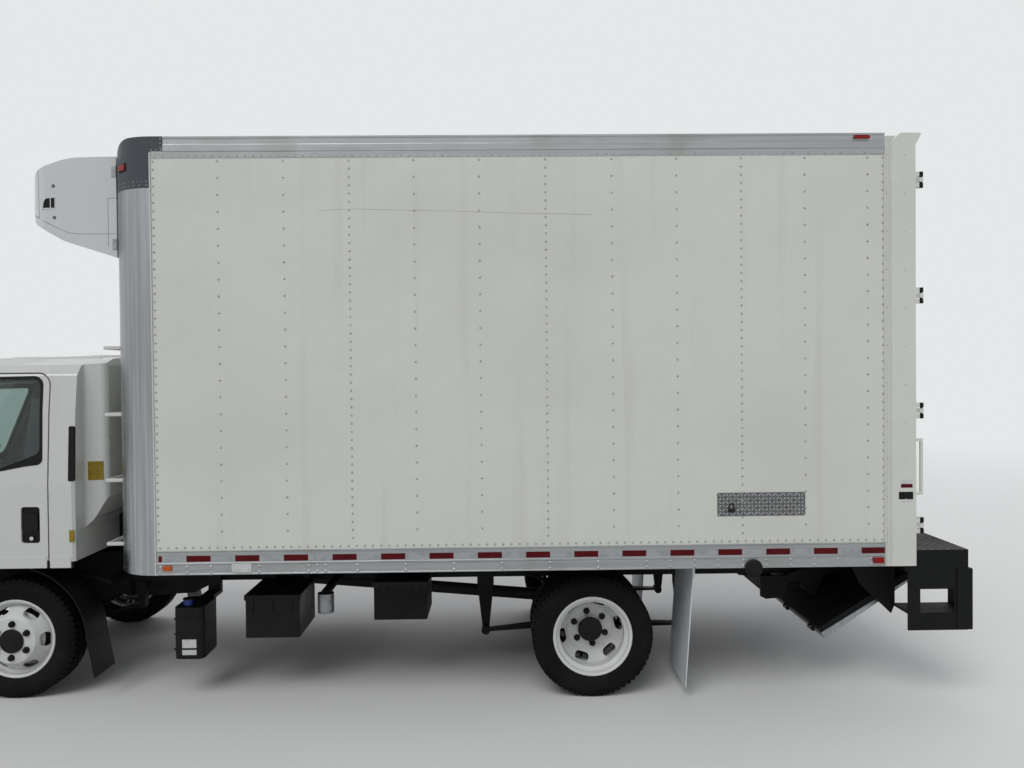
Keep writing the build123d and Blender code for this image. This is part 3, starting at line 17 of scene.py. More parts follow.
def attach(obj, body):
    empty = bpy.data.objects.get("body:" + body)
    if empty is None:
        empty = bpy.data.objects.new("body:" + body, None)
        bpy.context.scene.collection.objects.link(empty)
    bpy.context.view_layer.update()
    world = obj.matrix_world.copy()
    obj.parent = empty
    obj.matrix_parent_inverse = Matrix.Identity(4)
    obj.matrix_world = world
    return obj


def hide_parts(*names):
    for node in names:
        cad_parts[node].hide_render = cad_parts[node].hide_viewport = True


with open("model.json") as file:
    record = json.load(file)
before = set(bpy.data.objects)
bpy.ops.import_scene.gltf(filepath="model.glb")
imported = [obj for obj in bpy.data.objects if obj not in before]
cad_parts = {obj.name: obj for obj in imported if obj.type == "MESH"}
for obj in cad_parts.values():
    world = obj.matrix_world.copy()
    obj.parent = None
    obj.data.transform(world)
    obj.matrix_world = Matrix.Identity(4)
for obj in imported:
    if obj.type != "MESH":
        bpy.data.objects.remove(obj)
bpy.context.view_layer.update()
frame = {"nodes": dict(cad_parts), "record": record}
nodes = frame["nodes"]

# %% [markdown]
# ## Where things are
# A truck builder measures along the truck from the front axle, in millimetres.
# The model's own frame has its middle at zero and is in metres. One small
# helper turns the first into the second, so every size below can be read as a
# drawing would give it: distance behind the front axle, distance to the right
# of the middle line, height over the floor.

# %% Truck measures to the model's metres
MIDDLE = 2508.0


def at(x, y, z):
    """A point given as a drawing gives it, in the model's metres."""
    return Vector(((x - MIDDLE) / 1000, y / 1000, z / 1000))


WHEELBASE = 3810.0
AXLE_Z = 397.0
PANEL_Y = 1213.0
RAIL_Y = 1219.0
BAND_Y = 1215.5
BOTH = (-1, 1)
HANDS = ((-1, "left"), (1, "right"))
print("front axle lies at", tuple(at(0, 0, AXLE_Z)))

# %% [markdown]
# ## Wiring nodes
# The sky, every material and every Geometry Nodes tree is a graph of nodes.
# Written out in full, each node, value and link is a line of its own, and the
# plan behind them gets lost. Three small functions keep it short: one adds
# several nodes, one sets their values, and one links them from a list.


# %% Helpers for nodes
def added(tree, *kinds):
    """A new node of each kind; a word after the kind sets the node's operation."""
    made = []
    for kind in kinds:
        kind, _, operation = kind.partition(" ")
        made.append(tree.nodes.new(kind))
        if operation:
            made[-1].operation = operation
    return made


def dial(node, **values):
    """Sets inputs of a node by name; a low line in the name stands for a space."""
    for label, value in values.items():
        node.inputs[label.replace("_", " ")].default_value = value


def wire(tree, *links):
    """Links sockets; each link is (node, its output, node, its input)."""
    for source, output, target, into in links:
        tree.links.new(source.outputs[output], target.inputs[into])


print("node helpers are ready")
# %% [markdown]
# ## The camera
# The picture was taken by hand from the left, opposite the middle of the box,
# about five metres from its wall and at the height of a raised phone. The
# camera's place and its small turns were worked out from known sizes on the
# truck. A camera's axes can be written as the columns of a matrix, which saves
# guessing at Euler angles.

# %% Set the camera
yaw, pitch, roll = math.radians(0.8645), math.radians(-0.829), math.radians(-0.5356)
right = Vector((math.cos(yaw), -math.sin(yaw), 0))
ahead = Vector((math.sin(yaw) * math.cos(pitch), math.cos(yaw) * math.cos(pitch), math.sin(pitch)))
up = right.cross(ahead)
camera_x = right * math.cos(roll) + up * math.sin(roll)
camera_y = up * math.cos(roll) - right * math.sin(roll)
camera = bpy.data.objects.new("camera", bpy.data.cameras.new("camera"))
camera.data.lens = 29.2
camera.data.sensor_width = 36.0
camera.data.clip_end = 400
camera.matrix_world = Matrix((camera_x, camera_y, -ahead)).transposed().to_4x4()
camera.location = at(3215, -6445, 2132)
bpy.context.scene.collection.objects.link(camera)
bpy.context.scene.camera = camera
print("camera stands at", tuple(round(v, 3) for v in camera.location))

# %% [markdown]
# ## Floor, sky and lamps
# A studio floor is plain and pale, and far away it fades into the white behind
# it, so no horizon line cuts through the picture. The sky gives most of the
# light, as on a cloudy day. Two wide suns add a soft direction. Their strengths
# add up so that a white wall comes out about as white as it is painted.

# %% Build the floor and the light
HAZE = (0.79, 0.80, 0.81, 1)
FLOOR_R, FLOOR_CORNERS = 60, 64
scene = bpy.context.scene
scene.view_settings.view_transform = "Standard"
world = bpy.data.worlds.new("studio")
scene.world = world
world.use_nodes = True
tree = world.node_tree
background = tree.nodes["Background"]
white, paths, seen, through, sky_mix = added(
    tree, "ShaderNodeBackground", "ShaderNodeLightPath", "ShaderNodeMath MAXIMUM",
    "ShaderNodeMath MAXIMUM", "ShaderNodeMixShader")
dial(background, Color=(0.93, 0.95, 1.0, 1), Strength=0.57)
dial(white, Color=HAZE)
wire(tree, (paths, "Is Camera Ray", seen, 0), (paths, "Is Glossy Ray", through, 0),
     (paths, "Is Transmission Ray", through, 1), (through, 0, seen, 1), (seen, 0, sky_mix, "Fac"),
     (background, 0, sky_mix, 1), (white, 0, sky_mix, 2),
     (sky_mix, 0, tree.nodes["World Output"], "Surface"))
# name, strength, width in degrees, direction that the light travels
SUNS = (("key sun", 1.32, 35, (0.35, 0.75, -1.0)), ("back sun", 0.62, 60, (-0.4, -0.8, -0.9)))
for name, strength, width, heading in SUNS:
    sun = bpy.data.lights.new(name, "SUN")
    sun.energy = strength
    sun.angle = math.radians(width)
    lamp = bpy.data.objects.new(name, sun)
    lamp.rotation_euler = Vector(heading).to_track_quat("-Z", "Y").to_euler()
    scene.collection.objects.link(lamp)

floor_mesh = bpy.data.meshes.new("floor")
rim = [k * math.tau / FLOOR_CORNERS for k in range(FLOOR_CORNERS)]
floor_mesh.from_pydata([(FLOOR_R * math.cos(a), FLOOR_R * math.sin(a), 0) for a in rim], [],
                       [list(range(FLOOR_CORNERS))])
floor = bpy.data.objects.new("floor", floor_mesh)
scene.collection.objects.link(floor)
floor_paint = bpy.data.materials.new("floor")
floor_paint.use_nodes = True
tree = floor_paint.node_tree
shader = tree.nodes["Principled BSDF"]
glow, place, far, fade, blend = added(
    tree, "ShaderNodeEmission", "ShaderNodeTexCoord", "ShaderNodeVectorMath LENGTH",
    "ShaderNodeMapRange", "ShaderNodeMixShader")
fade.interpolation_type = "SMOOTHSTEP"
dial(shader, Base_Color=(0.62, 0.62, 0.61, 1), Roughness=0.8)
dial(glow, Color=HAZE)
dial(fade, From_Min=6.5, From_Max=24.0)
wire(tree, (place, "Object", far, 0), (far, "Value", fade, "Value"), (fade, "Result", blend, "Fac"),
     (shader, 0, blend, 1), (glow, 0, blend, 2),
     (blend, 0, tree.nodes["Material Output"], "Surface"))
floor_mesh.materials.append(floor_paint)
print("floor and", len(SUNS), "suns are in")
# %% [markdown]
# ## Effects that several finishes share
# Road dust gathers low down, rain leaves upright streaks, rolled metal has fine
# lines along its length, and moulded plastic has a leathery grain. Road dust is
# one shader group, and the other three come from a second group, a noise that
# can be stretched along each axis. Both have named sockets. Each gives only a
# mask or a height, and the shader itself stays in each material.


# %% Shader groups
def shader_group(name, inputs, output):
    """An empty shader group: inputs is (name, default) pairs, and output is one value."""
    made = bpy.data.node_groups.new(name, "ShaderNodeTree")
    for label, default in inputs:
        kind = "NodeSocketVector" if isinstance(default, tuple) else "NodeSocketFloat"
        made.interface.new_socket(label, in_out="INPUT", socket_type=kind).default_value = default
    made.interface.new_socket(output, in_out="OUTPUT", socket_type="NodeSocketFloat")
    start = made.nodes.new("NodeGroupInput")
    end = made.nodes.new("NodeGroupOutput")
    return made, start, end


NOISE = (("Scale", (4.0, 4.0, 4.0)), ("From", 0.4), ("To", 0.65), ("Amount", 1.0))
noise_mask, start, end = shader_group("Noise mask", NOISE, "Mask")
place, scaled, noise, spread, amount = added(
    noise_mask, "ShaderNodeTexCoord", "ShaderNodeVectorMath MULTIPLY", "ShaderNodeTexNoise",
    "ShaderNodeMapRange", "ShaderNodeMath MULTIPLY")
dial(noise, Scale=1.0, Detail=6.0)
wire(noise_mask, (place, "Object", scaled, 0), (start, "Scale", scaled, 1),
     (scaled, "Vector", noise, "Vector"), (noise, "Fac", spread, "Value"),
     (start, "From", spread, "From Min"), (start, "To", spread, "From Max"),
     (spread, "Result", amount, 0), (start, "Amount", amount, 1), (amount, 0, end, "Mask"))

road_dust, start, end = shader_group("Road dust", (("Top", 0.8), ("Amount", 0.5)), "Mask")
place, axes, height, clouds, patchy, both, amount = added(
    road_dust, "ShaderNodeTexCoord", "ShaderNodeSeparateXYZ", "ShaderNodeMapRange",
    "ShaderNodeTexNoise", "ShaderNodeMapRange", "ShaderNodeMath MULTIPLY", "ShaderNodeMath MULTIPLY")
dial(height, To_Min=1.0, To_Max=0.0)
dial(clouds, Scale=7.0, Detail=8.0)
dial(patchy, From_Min=0.35, From_Max=0.7)
wire(road_dust, (place, "Object", axes, 0), (axes, "Z", height, "Value"),
     (start, "Top", height, "From Max"), (place, "Object", clouds, "Vector"),
     (clouds, "Fac", patchy, "Value"), (height, "Result", both, 0), (patchy, "Result", both, 1),
     (both, 0, amount, 0), (start, "Amount", amount, 1), (amount, 0, end, "Mask"))
print("groups:", noise_mask.name, "and", road_dust.name)
# %% [markdown]
# ## The finishes
# A finish is a colour, how rough it is, and what time did to it. The table has
# one row for each. Streaks and dust mix a second colour in through the shared
# groups, and the grain goes to a bump, so most surfaces are not one flat colour.


# %% Make the materials
def use_group(tree, group, **values):
    """One group in a material, with its own values."""
    node, = added(tree, "ShaderNodeGroup")
    node.node_tree = group
    dial(node, **values)
    return node


def triple(scale):
    """A scale along each axis; one number stands for all three."""
    return scale if isinstance(scale, tuple) else (scale,) * 3


def finish(name, colour, roughness, metallic=0.0, coat=0.0, stain=None, dust=None, grain=None,
           waves=None, streak=None, uneven=0.1, **more):
    """A material. stain and streak: (colour, scale, from, to, amount); dust: (colour, top, amount);
    grain and waves: (scale, depth); more: plain values for the shader's own sockets."""
    made = bpy.data.materials.new(name)
    made.use_nodes = True
    tree = made.node_tree
    shader = tree.nodes["Principled BSDF"]
    dial(shader, Metallic=metallic, Coat_Weight=coat, Coat_Roughness=0.08, **more)
    last = None
    for layer in filter(None, (stain, streak, dust)):
        if len(layer) == 3:
            mask = use_group(tree, road_dust, Top=layer[1], Amount=layer[2])
        else:
            mask = use_group(tree, noise_mask, Scale=triple(layer[1]), From=layer[2], To=layer[3],
                             Amount=layer[4])
        mix, = added(tree, "ShaderNodeMix")
        mix.data_type = "RGBA"
        if last is None:
            dial(mix, A=(*colour, 1))
        else:
            wire(tree, (last, "Result", mix, "A"))
        dial(mix, B=(*layer[0], 1))
        wire(tree, (mask, "Mask", mix, "Factor"))
        last = mix
    if last is None:
        dial(shader, Base_Color=(*colour, 1))
    else:
        wire(tree, (last, "Result", shader, "Base Color"))
    worn = use_group(tree, noise_mask, Scale=(3.0, 3.0, 3.0), From=0.3, To=0.7, Amount=1.0)
    rough, = added(tree, "ShaderNodeMapRange")
    dial(rough, To_Min=max(roughness - uneven, 0.02), To_Max=roughness + uneven)
    wire(tree, (worn, "Mask", rough, "Value"), (rough, "Result", shader, "Roughness"))
    last = None
    for scale, depth in filter(None, (waves, grain)):
        mask = use_group(tree, noise_mask, Scale=triple(scale), From=0.2, To=0.8, Amount=1.0)
        bump, = added(tree, "ShaderNodeBump")
        dial(bump, Distance=depth)
        wire(tree, (mask, "Mask", bump, "Height"))
        if last is not None:
            wire(tree, (last, "Normal", bump, "Normal"))
        last = bump
    if last is not None:
        wire(tree, (last, "Normal", shader, "Normal"))
    return made


DUST = (0.25, 0.225, 0.19)
OLD = (0.36, 0.345, 0.31)
SOOT = (0.020, 0.019, 0.017)
DULL = {"Specular_IOR_Level": 0.1}
F = {
    "panel": finish("panel_white", (0.560, 0.570, 0.522), 0.42, uneven=0.06,
                    stain=((0.50, 0.505, 0.470), (0.7, 0.7, 1.1), 0.42, 0.62, 0.55),
                    streak=((0.42, 0.41, 0.375), (9.0, 9.0, 0.35), 0.56, 0.8, 0.4),
                    waves=((2.2, 2.2, 1.4), 0.012), grain=(160, 0.00015)),
    # rivet heads: darker than the panel, partly aged metal and dirt, partly painted shade for the shading
    # round each small head
    "rivet": finish("rivet_heads", (0.36, 0.36, 0.34), 0.40, coat=0.2,
                    stain=((0.22, 0.21, 0.20), 40, 0.45, 0.65, 0.6)),
    "white": finish("white_paint", (0.50, 0.508, 0.487), 0.22, coat=0.4,
                    streak=(OLD, (7.0, 7.0, 1.0), 0.58, 0.8, 0.25), dust=(OLD, 1.15, 0.35)),
    "post": finish("bright_aluminium", (0.43, 0.455, 0.465), 0.30, metallic=1.0, uneven=0.08,
                   streak=((0.20, 0.215, 0.225), (60, 60, 0.8), 0.42, 0.72, 0.6),
                   stain=((0.30, 0.31, 0.32), (2, 2, 0.6), 0.4, 0.6, 0.7),
                   grain=((900, 900, 6), 0.0002)),
    "rail": finish("rail_aluminium", (0.38, 0.395, 0.40), 0.36, metallic=1.0, uneven=0.08,
                   streak=((0.24, 0.245, 0.25), (1.2, 60, 60), 0.45, 0.75, 0.5),
                   stain=((0.26, 0.255, 0.24), 3, 0.5, 0.7, 0.5),
                   grain=((6, 900, 900), 0.0002)),
    "steel": finish("black_steel", (0.005, 0.0056, 0.006), 0.55, dust=(SOOT, 1.0, 0.35),
                    grain=(260, 0.0004), Specular_IOR_Level=0.14),
    "cast": finish("grey_cast", (0.022, 0.022, 0.022), 0.62, metallic=0.3,
                   dust=((0.07, 0.06, 0.05), 0.9, 0.5), grain=(180, 0.0008), **DULL),
    "cap": finish("charcoal_plastic", (0.042, 0.048, 0.055), 0.45,
                  streak=((0.09, 0.095, 0.10), (12, 12, 1.5), 0.55, 0.8, 0.4),
                  grain=(300, 0.0002), Specular_IOR_Level=0.35),
    "black": finish("black_plastic", (0.005, 0.0052, 0.0058), 0.45, dust=(SOOT, 1.1, 0.3),
                    grain=(420, 0.0003), Specular_IOR_Level=0.18),
    "reefer": finish("reefer_white", (0.50, 0.51, 0.51), 0.32, coat=0.2,
                     streak=(OLD, (8, 8, 0.9), 0.6, 0.85, 0.25)),
    "wheel": finish("wheel_white", (0.56, 0.57, 0.56), 0.35, dust=(DUST, 0.9, 0.25),
                    stain=((0.42, 0.40, 0.36), 14, 0.52, 0.75, 0.3)),
    "tyre": finish("tyre", (0.005, 0.005, 0.0054), 0.78, dust=(SOOT, 0.9, 0.45),
                   grain=(90, 0.0008), **DULL),
    "glass": finish("glass", (0.50, 0.60, 0.57), 0.03, uneven=0.01, Transmission_Weight=1.0, IOR=1.45),
    "lens": finish("lamp_glass", (0.92, 0.94, 0.95), 0.05, uneven=0.02, Transmission_Weight=0.85, IOR=1.4),
    "red": finish("red_lens", (0.22, 0.004, 0.006), 0.25, coat=0.3, grain=(700, 0.0004), **DULL),
    "amber": finish("amber_lens", (0.40, 0.075, 0.006), 0.25, coat=0.3,
                    grain=(700, 0.0004), **DULL),
    "tape red": finish("tape_red", (0.085, 0.004, 0.007), 0.35,
                       stain=((0.05, 0.003, 0.006), 20, 0.45, 0.6, 0.6), **DULL),
    "tape silver": finish("tape_silver", (0.30, 0.315, 0.32), 0.4,
                          stain=((0.22, 0.23, 0.235), 20, 0.45, 0.6, 0.6)),
    "chrome": finish("bright_steel", (0.60, 0.60, 0.60), 0.12, metallic=1.0, uneven=0.04,
                     stain=((0.45, 0.44, 0.43), 30, 0.5, 0.7, 0.3)),
    "zinc": finish("galvanized", (0.30, 0.31, 0.32), 0.45, metallic=0.85,
                   stain=((0.20, 0.20, 0.21), 25, 0.45, 0.6, 0.7)),
    "flap": finish("flap_white", (0.56, 0.585, 0.60), 0.45, dust=(DUST, 0.8, 0.3)),
    "rubber": finish("black_rubber", (0.007, 0.007, 0.0075), 0.8, dust=(SOOT, 1.2, 0.4),
                     grain=(120, 0.001), **DULL),
    "fabric": finish("seat_fabric", (0.06, 0.062, 0.068), 0.9,
                     stain=((0.075, 0.077, 0.084), 40, 0.45, 0.65, 0.5)),
    "grey": finish("grey_plastic", (0.09, 0.09, 0.095), 0.6, grain=(500, 0.0003)),
    "blue": finish("blue_cap", (0.010, 0.03, 0.24), 0.35, grain=(300, 0.0003)),
    "label": finish("bare_plate", (0.50, 0.505, 0.50), 0.5,
                    stain=((0.38, 0.37, 0.35), 30, 0.45, 0.65, 0.5)),
    "gold": finish("yellow_plate", (0.24, 0.17, 0.02), 0.45,
                   stain=((0.13, 0.10, 0.02), 30, 0.45, 0.65, 0.5), **DULL),
    "tread": finish("tread_plate", (0.10, 0.105, 0.11), 0.5, metallic=0.4,
                    stain=((0.16, 0.165, 0.17), 30, 0.45, 0.65, 0.5)),
}
print("finishes:", len(F))

# %% [markdown]
# ## Helpers for shapes
# Three ways of making a solid cover almost everything on a truck: a profile
# turned about an axle, an outline pushed straight along an axis, and a round
# bar that follows a path. Each one adds its faces to a bmesh, so several can
# join in one piece. `piece` then rounds the sharp edges a little, because real
# edges catch the light, and hands the mesh to the body that it rides on.


def mesh_of(bm, name):
    """The plain mesh of a bmesh, which is then let go."""
    mesh = bpy.data.meshes.new(name)
    bm.to_mesh(mesh)
    bm.free()
    return mesh


def piece(name, body, kind, bm, bevel=0.0, segments=2, angle=30, sharp=35):
    """Turns a bmesh into an object that rides on a body."""
    bmesh.ops.remove_doubles(bm, verts=bm.verts, dist=1e-6)
    if bevel:
        edges = [e for e in bm.edges if len(e.link_faces) == 2
                 and e.calc_face_angle(0) > math.radians(angle)]
        bmesh.ops.bevel(bm, geom=edges, offset=bevel, segments=segments, profile=0.5,
                        affect="EDGES", clamp_overlap=True)
    return settle(name, body, kind, mesh_of(bm, name), sharp)


def even_shading(mesh):
    """Normals that follow the large faces, so that a rounded edge does not shade a flat panel."""
    holder = bpy.data.objects.new("holder", mesh)
    scene.collection.objects.link(holder)
    modifier = holder.modifiers.new("normals", "WEIGHTED_NORMAL")
    modifier.keep_sharp = True
    graph = bpy.context.evaluated_depsgraph_get()
    made = bpy.data.meshes.new_from_object(holder.evaluated_get(graph), depsgraph=graph)
    bpy.data.objects.remove(holder)
    return made


def settle(name, body, kind, mesh, sharp=35):
    """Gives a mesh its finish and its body."""
    mesh.shade_smooth()
    mesh.set_sharp_from_angle(angle=math.radians(sharp))
    mesh = even_shading(mesh)
    mesh.materials.clear()
    mesh.materials.append(F[kind])
    made = bpy.data.objects.new(name, mesh)
    scene.collection.objects.link(made)
    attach(made, body)
    return made


def box(bm, x0, x1, y0, y1, z0, z1):
    """A block between two corners, in truck measures."""
    low, high = at(min(x0, x1), min(y0, y1), min(z0, z1)), at(max(x0, x1), max(y0, y1), max(z0, z1))
    place = Matrix.Translation((low + high) / 2) @ Matrix.Diagonal((*(high - low), 1))
    bmesh.ops.create_cube(bm, size=1.0, matrix=place)


def blocks(name, kind, corners, bevel=0.0):
    """A piece of the chassis that is made of blocks, each given by its corners."""
    bm = bmesh.new()
    for corner in corners:
        box(bm, *corner)
    return piece(name, "chassis", kind, bm, bevel)


def band(bm, a, b):
    """The faces between two rings with the same number of vertices."""
    n = len(a)
    return [bm.faces.new((a[k], a[(k + 1) % n], b[(k + 1) % n], b[k])) for k in range(n)]


def pushed(bm, outline, start, end):
    """An outline of points at one end, and the same at the other: start and end turn (u, v) into points."""
    near = [bm.verts.new(start(u, v)) for u, v in outline]
    away = [bm.verts.new(end(u, v)) for u, v in outline]
    faces = [bm.faces.new(near), bm.faces.new(away[::-1])]
    for k in range(len(outline)):
        j = (k + 1) % len(outline)
        faces.append(bm.faces.new((near[j], near[k], away[k], away[j])))
    bmesh.ops.recalc_face_normals(bm, faces=faces)


def side_plate(bm, outline, y0, y1):
    """A plate with its outline of (x, z) in the side view."""
    pushed(bm, outline, lambda u, v: at(u, y0, v), lambda u, v: at(u, y1, v))


def plan_plate(bm, outline, z0, z1):
    """A plate with its outline of (x, y) seen from above."""
    pushed(bm, outline, lambda u, v: at(u, v, z0), lambda u, v: at(u, v, z1))


def turned(bm, profile, x, z=AXLE_Z, count=64, closed=True):
    """A profile of (y, radius) turned about a line across the truck."""
    rings = []
    for y, r in profile:
        if r < 1e-6:
            rings.append([bm.verts.new(at(x, y, z))])
        else:
            rings.append([bm.verts.new(at(x + r * math.cos(k * math.tau / count), y,
                                          z + r * math.sin(k * math.tau / count)))
                          for k in range(count)])
    faces = []
    pairs = list(zip(rings, rings[1:]))
    if closed and len(profile) > 2 and len(rings[0]) > 1 and len(rings[-1]) > 1:
        pairs.append((rings[-1], rings[0]))
    for a, b in pairs:
        for k in range(count):
            j = (k + 1) % count
            corner = [a[k % len(a)], a[j % len(a)], b[j % len(b)], b[k % len(b)]]
            corner = list(dict.fromkeys(corner))
            if len(corner) > 2:
                faces.append(bm.faces.new(corner))
    bmesh.ops.recalc_face_normals(bm, faces=faces)


def button(bm, side, x, z, levels, radii, count):
    """A round cap on a side of the truck: levels of its foot, edge and top, radii of edge and top."""
    foot, edge, top = (side * y for y in levels)
    turned(bm, [(foot, 0), (foot, radii[0]), (edge, radii[0]), (top, radii[1]), (top, 0)], x, z,
           count, closed=False)


def bar(bm, points, radius, count=10):
    """A round bar along a path of truck points, with closed ends."""
    path = [at(*p) for p in points]
    rings = []
    for k, p in enumerate(path):
        way = (path[min(k + 1, len(path) - 1)] - path[max(k - 1, 0)]).normalized()
        side = way.orthogonal().normalized() if k == 0 else (side - way * side.dot(way)).normalized()
        across = way.cross(side)
        rings.append([bm.verts.new(p + (side * math.cos(a * math.tau / count)
                                        + across * math.sin(a * math.tau / count)) * radius / 1000)
                      for a in range(count)])
    faces = [bm.faces.new(rings[0][::-1]), bm.faces.new(rings[-1])]
    for a, b in zip(rings, rings[1:]):
        faces += band(bm, a, b)
    bmesh.ops.recalc_face_normals(bm, faces=faces)


def arc(cx, cy, r, a0, a1, steps=6):
    """Points on an arc, angles in degrees."""
    return [(cx + r * math.cos(math.radians(a0 + (a1 - a0) * k / steps)),
             cy + r * math.sin(math.radians(a0 + (a1 - a0) * k / steps))) for k in range(steps + 1)]


def rounded(x0, x1, y0, y1, r, steps=4):
    """The outline of a rectangle with round corners."""
    return (arc(x1 - r, y1 - r, r, 0, 90, steps) + arc(x0 + r, y1 - r, r, 90, 180, steps)
            + arc(x0 + r, y0 + r, r, 180, 270, steps) + arc(x1 - r, y0 + r, r, 270, 360, steps))


print("shape helpers are ready")

# %% [markdown]
# ## The CAD pieces get their finishes
# A CAD solid has perfectly sharp edges, and nothing real has. Where edges show,
# a copy of the CAD mesh is cleaned, its edges are rounded by a few millimetres,
# and the copy stands for the CAD piece. Very long plain pieces keep their own
# mesh and only get a finish. One table says which finish each node has and how
# far its edges are rounded. The record says on which body it rides.

# %% Finish the CAD pieces
# node, finish, edge rounding in millimetres, and the slot where it is not the finish's own
CAD_FINISH = (
    ("frame", "steel", 2.5), ("front_axle", "steel", 3), ("rear_axle", "steel", 4),
    ("leaf_springs", "steel", 1.5), ("engine", "cast", 14), ("radiator", "cast", 3),
    ("driveline", "cast", 6), ("fuel_tank", "steel", 3), ("exhaust", "zinc", 5),
    ("air_intake", "black", 6), ("battery_box", "black", 6), ("def_tank", "black", 8),
    ("equipment_boxes", "steel", 4), ("front_bumper", "white", 6), ("mudguards", "black", 2),
    ("cargo_floor", "zinc", 3, "aluminium"), ("cargo_wall_left", "panel", 0),
    ("cargo_wall_right", "panel", 0), ("cargo_front_wall", "panel", 0),
    ("cargo_corner_posts", "post", 0), ("nose_cap", "cap", 4), ("cargo_roof", "panel", 0),
    ("cargo_rails", "rail", 1), ("cargo_rear_frame", "panel", 3, "white_paint"),
    ("cargo_door_left", "panel", 3), ("cargo_door_right", "panel", 3),
    ("reefer_unit", "reefer", 12), ("evaporator", "reefer", 8), ("nose_steps", "white", 4),
    ("rear_steps", "steel", 2), ("dock_bumpers", "steel", 4), ("mud_flaps", "flap", 1.5),
    ("lift_mount", "steel", 3), ("lift_arms", "steel", 4), ("lift_links", "steel", 2),
    ("lift_shackles", "steel", 2), ("lift_platform", "steel", 4, "galvanized"),
    ("lift_flap", "post", 3), ("knuckle_left", "cast", 3), ("knuckle_right", "cast", 3),
    ("cab_shell", "white", 9), ("cab_door_left", "white", 4), ("cab_door_right", "white", 4),
    ("cab_glass", "glass", 0), ("door_glass_left", "glass", 0), ("door_glass_right", "glass", 0),
    ("dashboard", "grey", 8), ("headlamps", "lens", 2), ("mirrors", "black", 10),
    ("cab_sills", "black", 3), ("marker_lamps", "red", 1),
)
body_of_node = {node: body for body, members in frame["record"]["behaviour"]["bodies"].items()
                for node in members}


def round_edges(node, kind, width, slot=None):
    """A copy of a CAD node with rounded edges, which stands for the node."""
    bm = bmesh.new()
    bm.from_mesh(nodes[node].data)
    bmesh.ops.remove_doubles(bm, verts=bm.verts, dist=2e-6)
    bmesh.ops.dissolve_limit(bm, angle_limit=math.radians(1.5), verts=bm.verts, edges=bm.edges)
    made = piece(node + "_dressed", body_of_node[node], kind, bm, width / 1000, 2, 28, 32)
    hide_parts(node)
    return made


dressed = {}
for node, kind, width, *slot in CAD_FINISH:
    if width:
        dressed[node] = round_edges(node, kind, width, *slot)
    else:
        nodes[node].data.materials.clear()
        nodes[node].data.materials.append(F[kind])
print("dressed:", len(dressed), "of", len(CAD_FINISH))

# %% [markdown]
# ## Trees for what repeats
# A truck body has hundreds of rivets and bolts, and they stand at an even pitch
# along seams. A Geometry Nodes tree fits that: it takes the seams as edges,
# sets points along them and puts one small part at each, turned to face
# outwards. A second tree sets parts round an axle, and a third fills a plate
# with a grid of raised bars. All three realize their instances and set the
# material, and `grow` turns what they make into a plain mesh.


# %% Geometry Nodes trees
def tree_with(name, sockets):
    """A Geometry Nodes tree with named inputs; returns it with its two end nodes."""
    made = bpy.data.node_groups.new(name, "GeometryNodeTree")
    made.interface.new_socket("Geometry", in_out="INPUT", socket_type="NodeSocketGeometry")
    for label, kind in sockets:
        made.interface.new_socket(label, in_out="INPUT", socket_type="NodeSocket" + kind)
    made.interface.new_socket("Geometry", in_out="OUTPUT", socket_type="NodeSocketGeometry")
    return made, made.nodes.new("NodeGroupInput"), made.nodes.new("NodeGroupOutput")


def end_with(tree, start, put, last, end):
    """Feeds the part to its places, realizes what that makes, gives it its material and ends."""
    info, real, coat = added(tree, "GeometryNodeObjectInfo", "GeometryNodeRealizeInstances",
                             "GeometryNodeSetMaterial")
    wire(tree, (start, "Part", info, "Object"), (info, "Geometry", put, "Instance"),
         (last, 0, real, 0), (real, 0, coat, "Geometry"), (start, "Material", coat, "Material"),
         (coat, 0, end, 0))


along, start, end = tree_with("Repeat along lines", (("Part", "Object"), ("Spacing", "Float"),
                                                     ("Material", "Material")))
curve, points, outward, turn, put = added(
    along, "GeometryNodeMeshToCurve", "GeometryNodeCurveToPoints",
    "GeometryNodeInputNamedAttribute", "FunctionNodeAlignRotationToVector",
    "GeometryNodeInstanceOnPoints")
points.mode = "LENGTH"
outward.data_type = "FLOAT_VECTOR"
turn.axis = "Z"
dial(outward, Name="facing")
wire(along, (start, "Geometry", curve, 0), (curve, 0, points, 0),
     (start, "Spacing", points, "Length"), (outward, "Attribute", turn, "Vector"),
     (points, 0, put, "Points"), (turn, 0, put, "Rotation"))
end_with(along, start, put, put, end)

axle_tree, start, end = tree_with("Repeat round an axle", (("Part", "Object"), ("Count", "Int"),
                                                           ("Centre", "Vector"), ("Phase", "Float"),
                                                           ("Material", "Material")))
cloud, index, share, whole, about, put = added(
    axle_tree, "GeometryNodePoints", "GeometryNodeInputIndex", "ShaderNodeMath DIVIDE",
    "ShaderNodeMath MULTIPLY_ADD", "ShaderNodeCombineXYZ", "GeometryNodeInstanceOnPoints")
whole.inputs[1].default_value = math.tau
wire(axle_tree, (start, "Count", cloud, "Count"), (start, "Centre", cloud, "Position"),
     (index, 0, share, 0), (start, "Count", share, 1), (share, 0, whole, 0),
     (start, "Phase", whole, 2), (whole, 0, about, "Y"), (cloud, 0, put, "Points"),
     (about, 0, put, "Rotation"))
end_with(axle_tree, start, put, put, end)

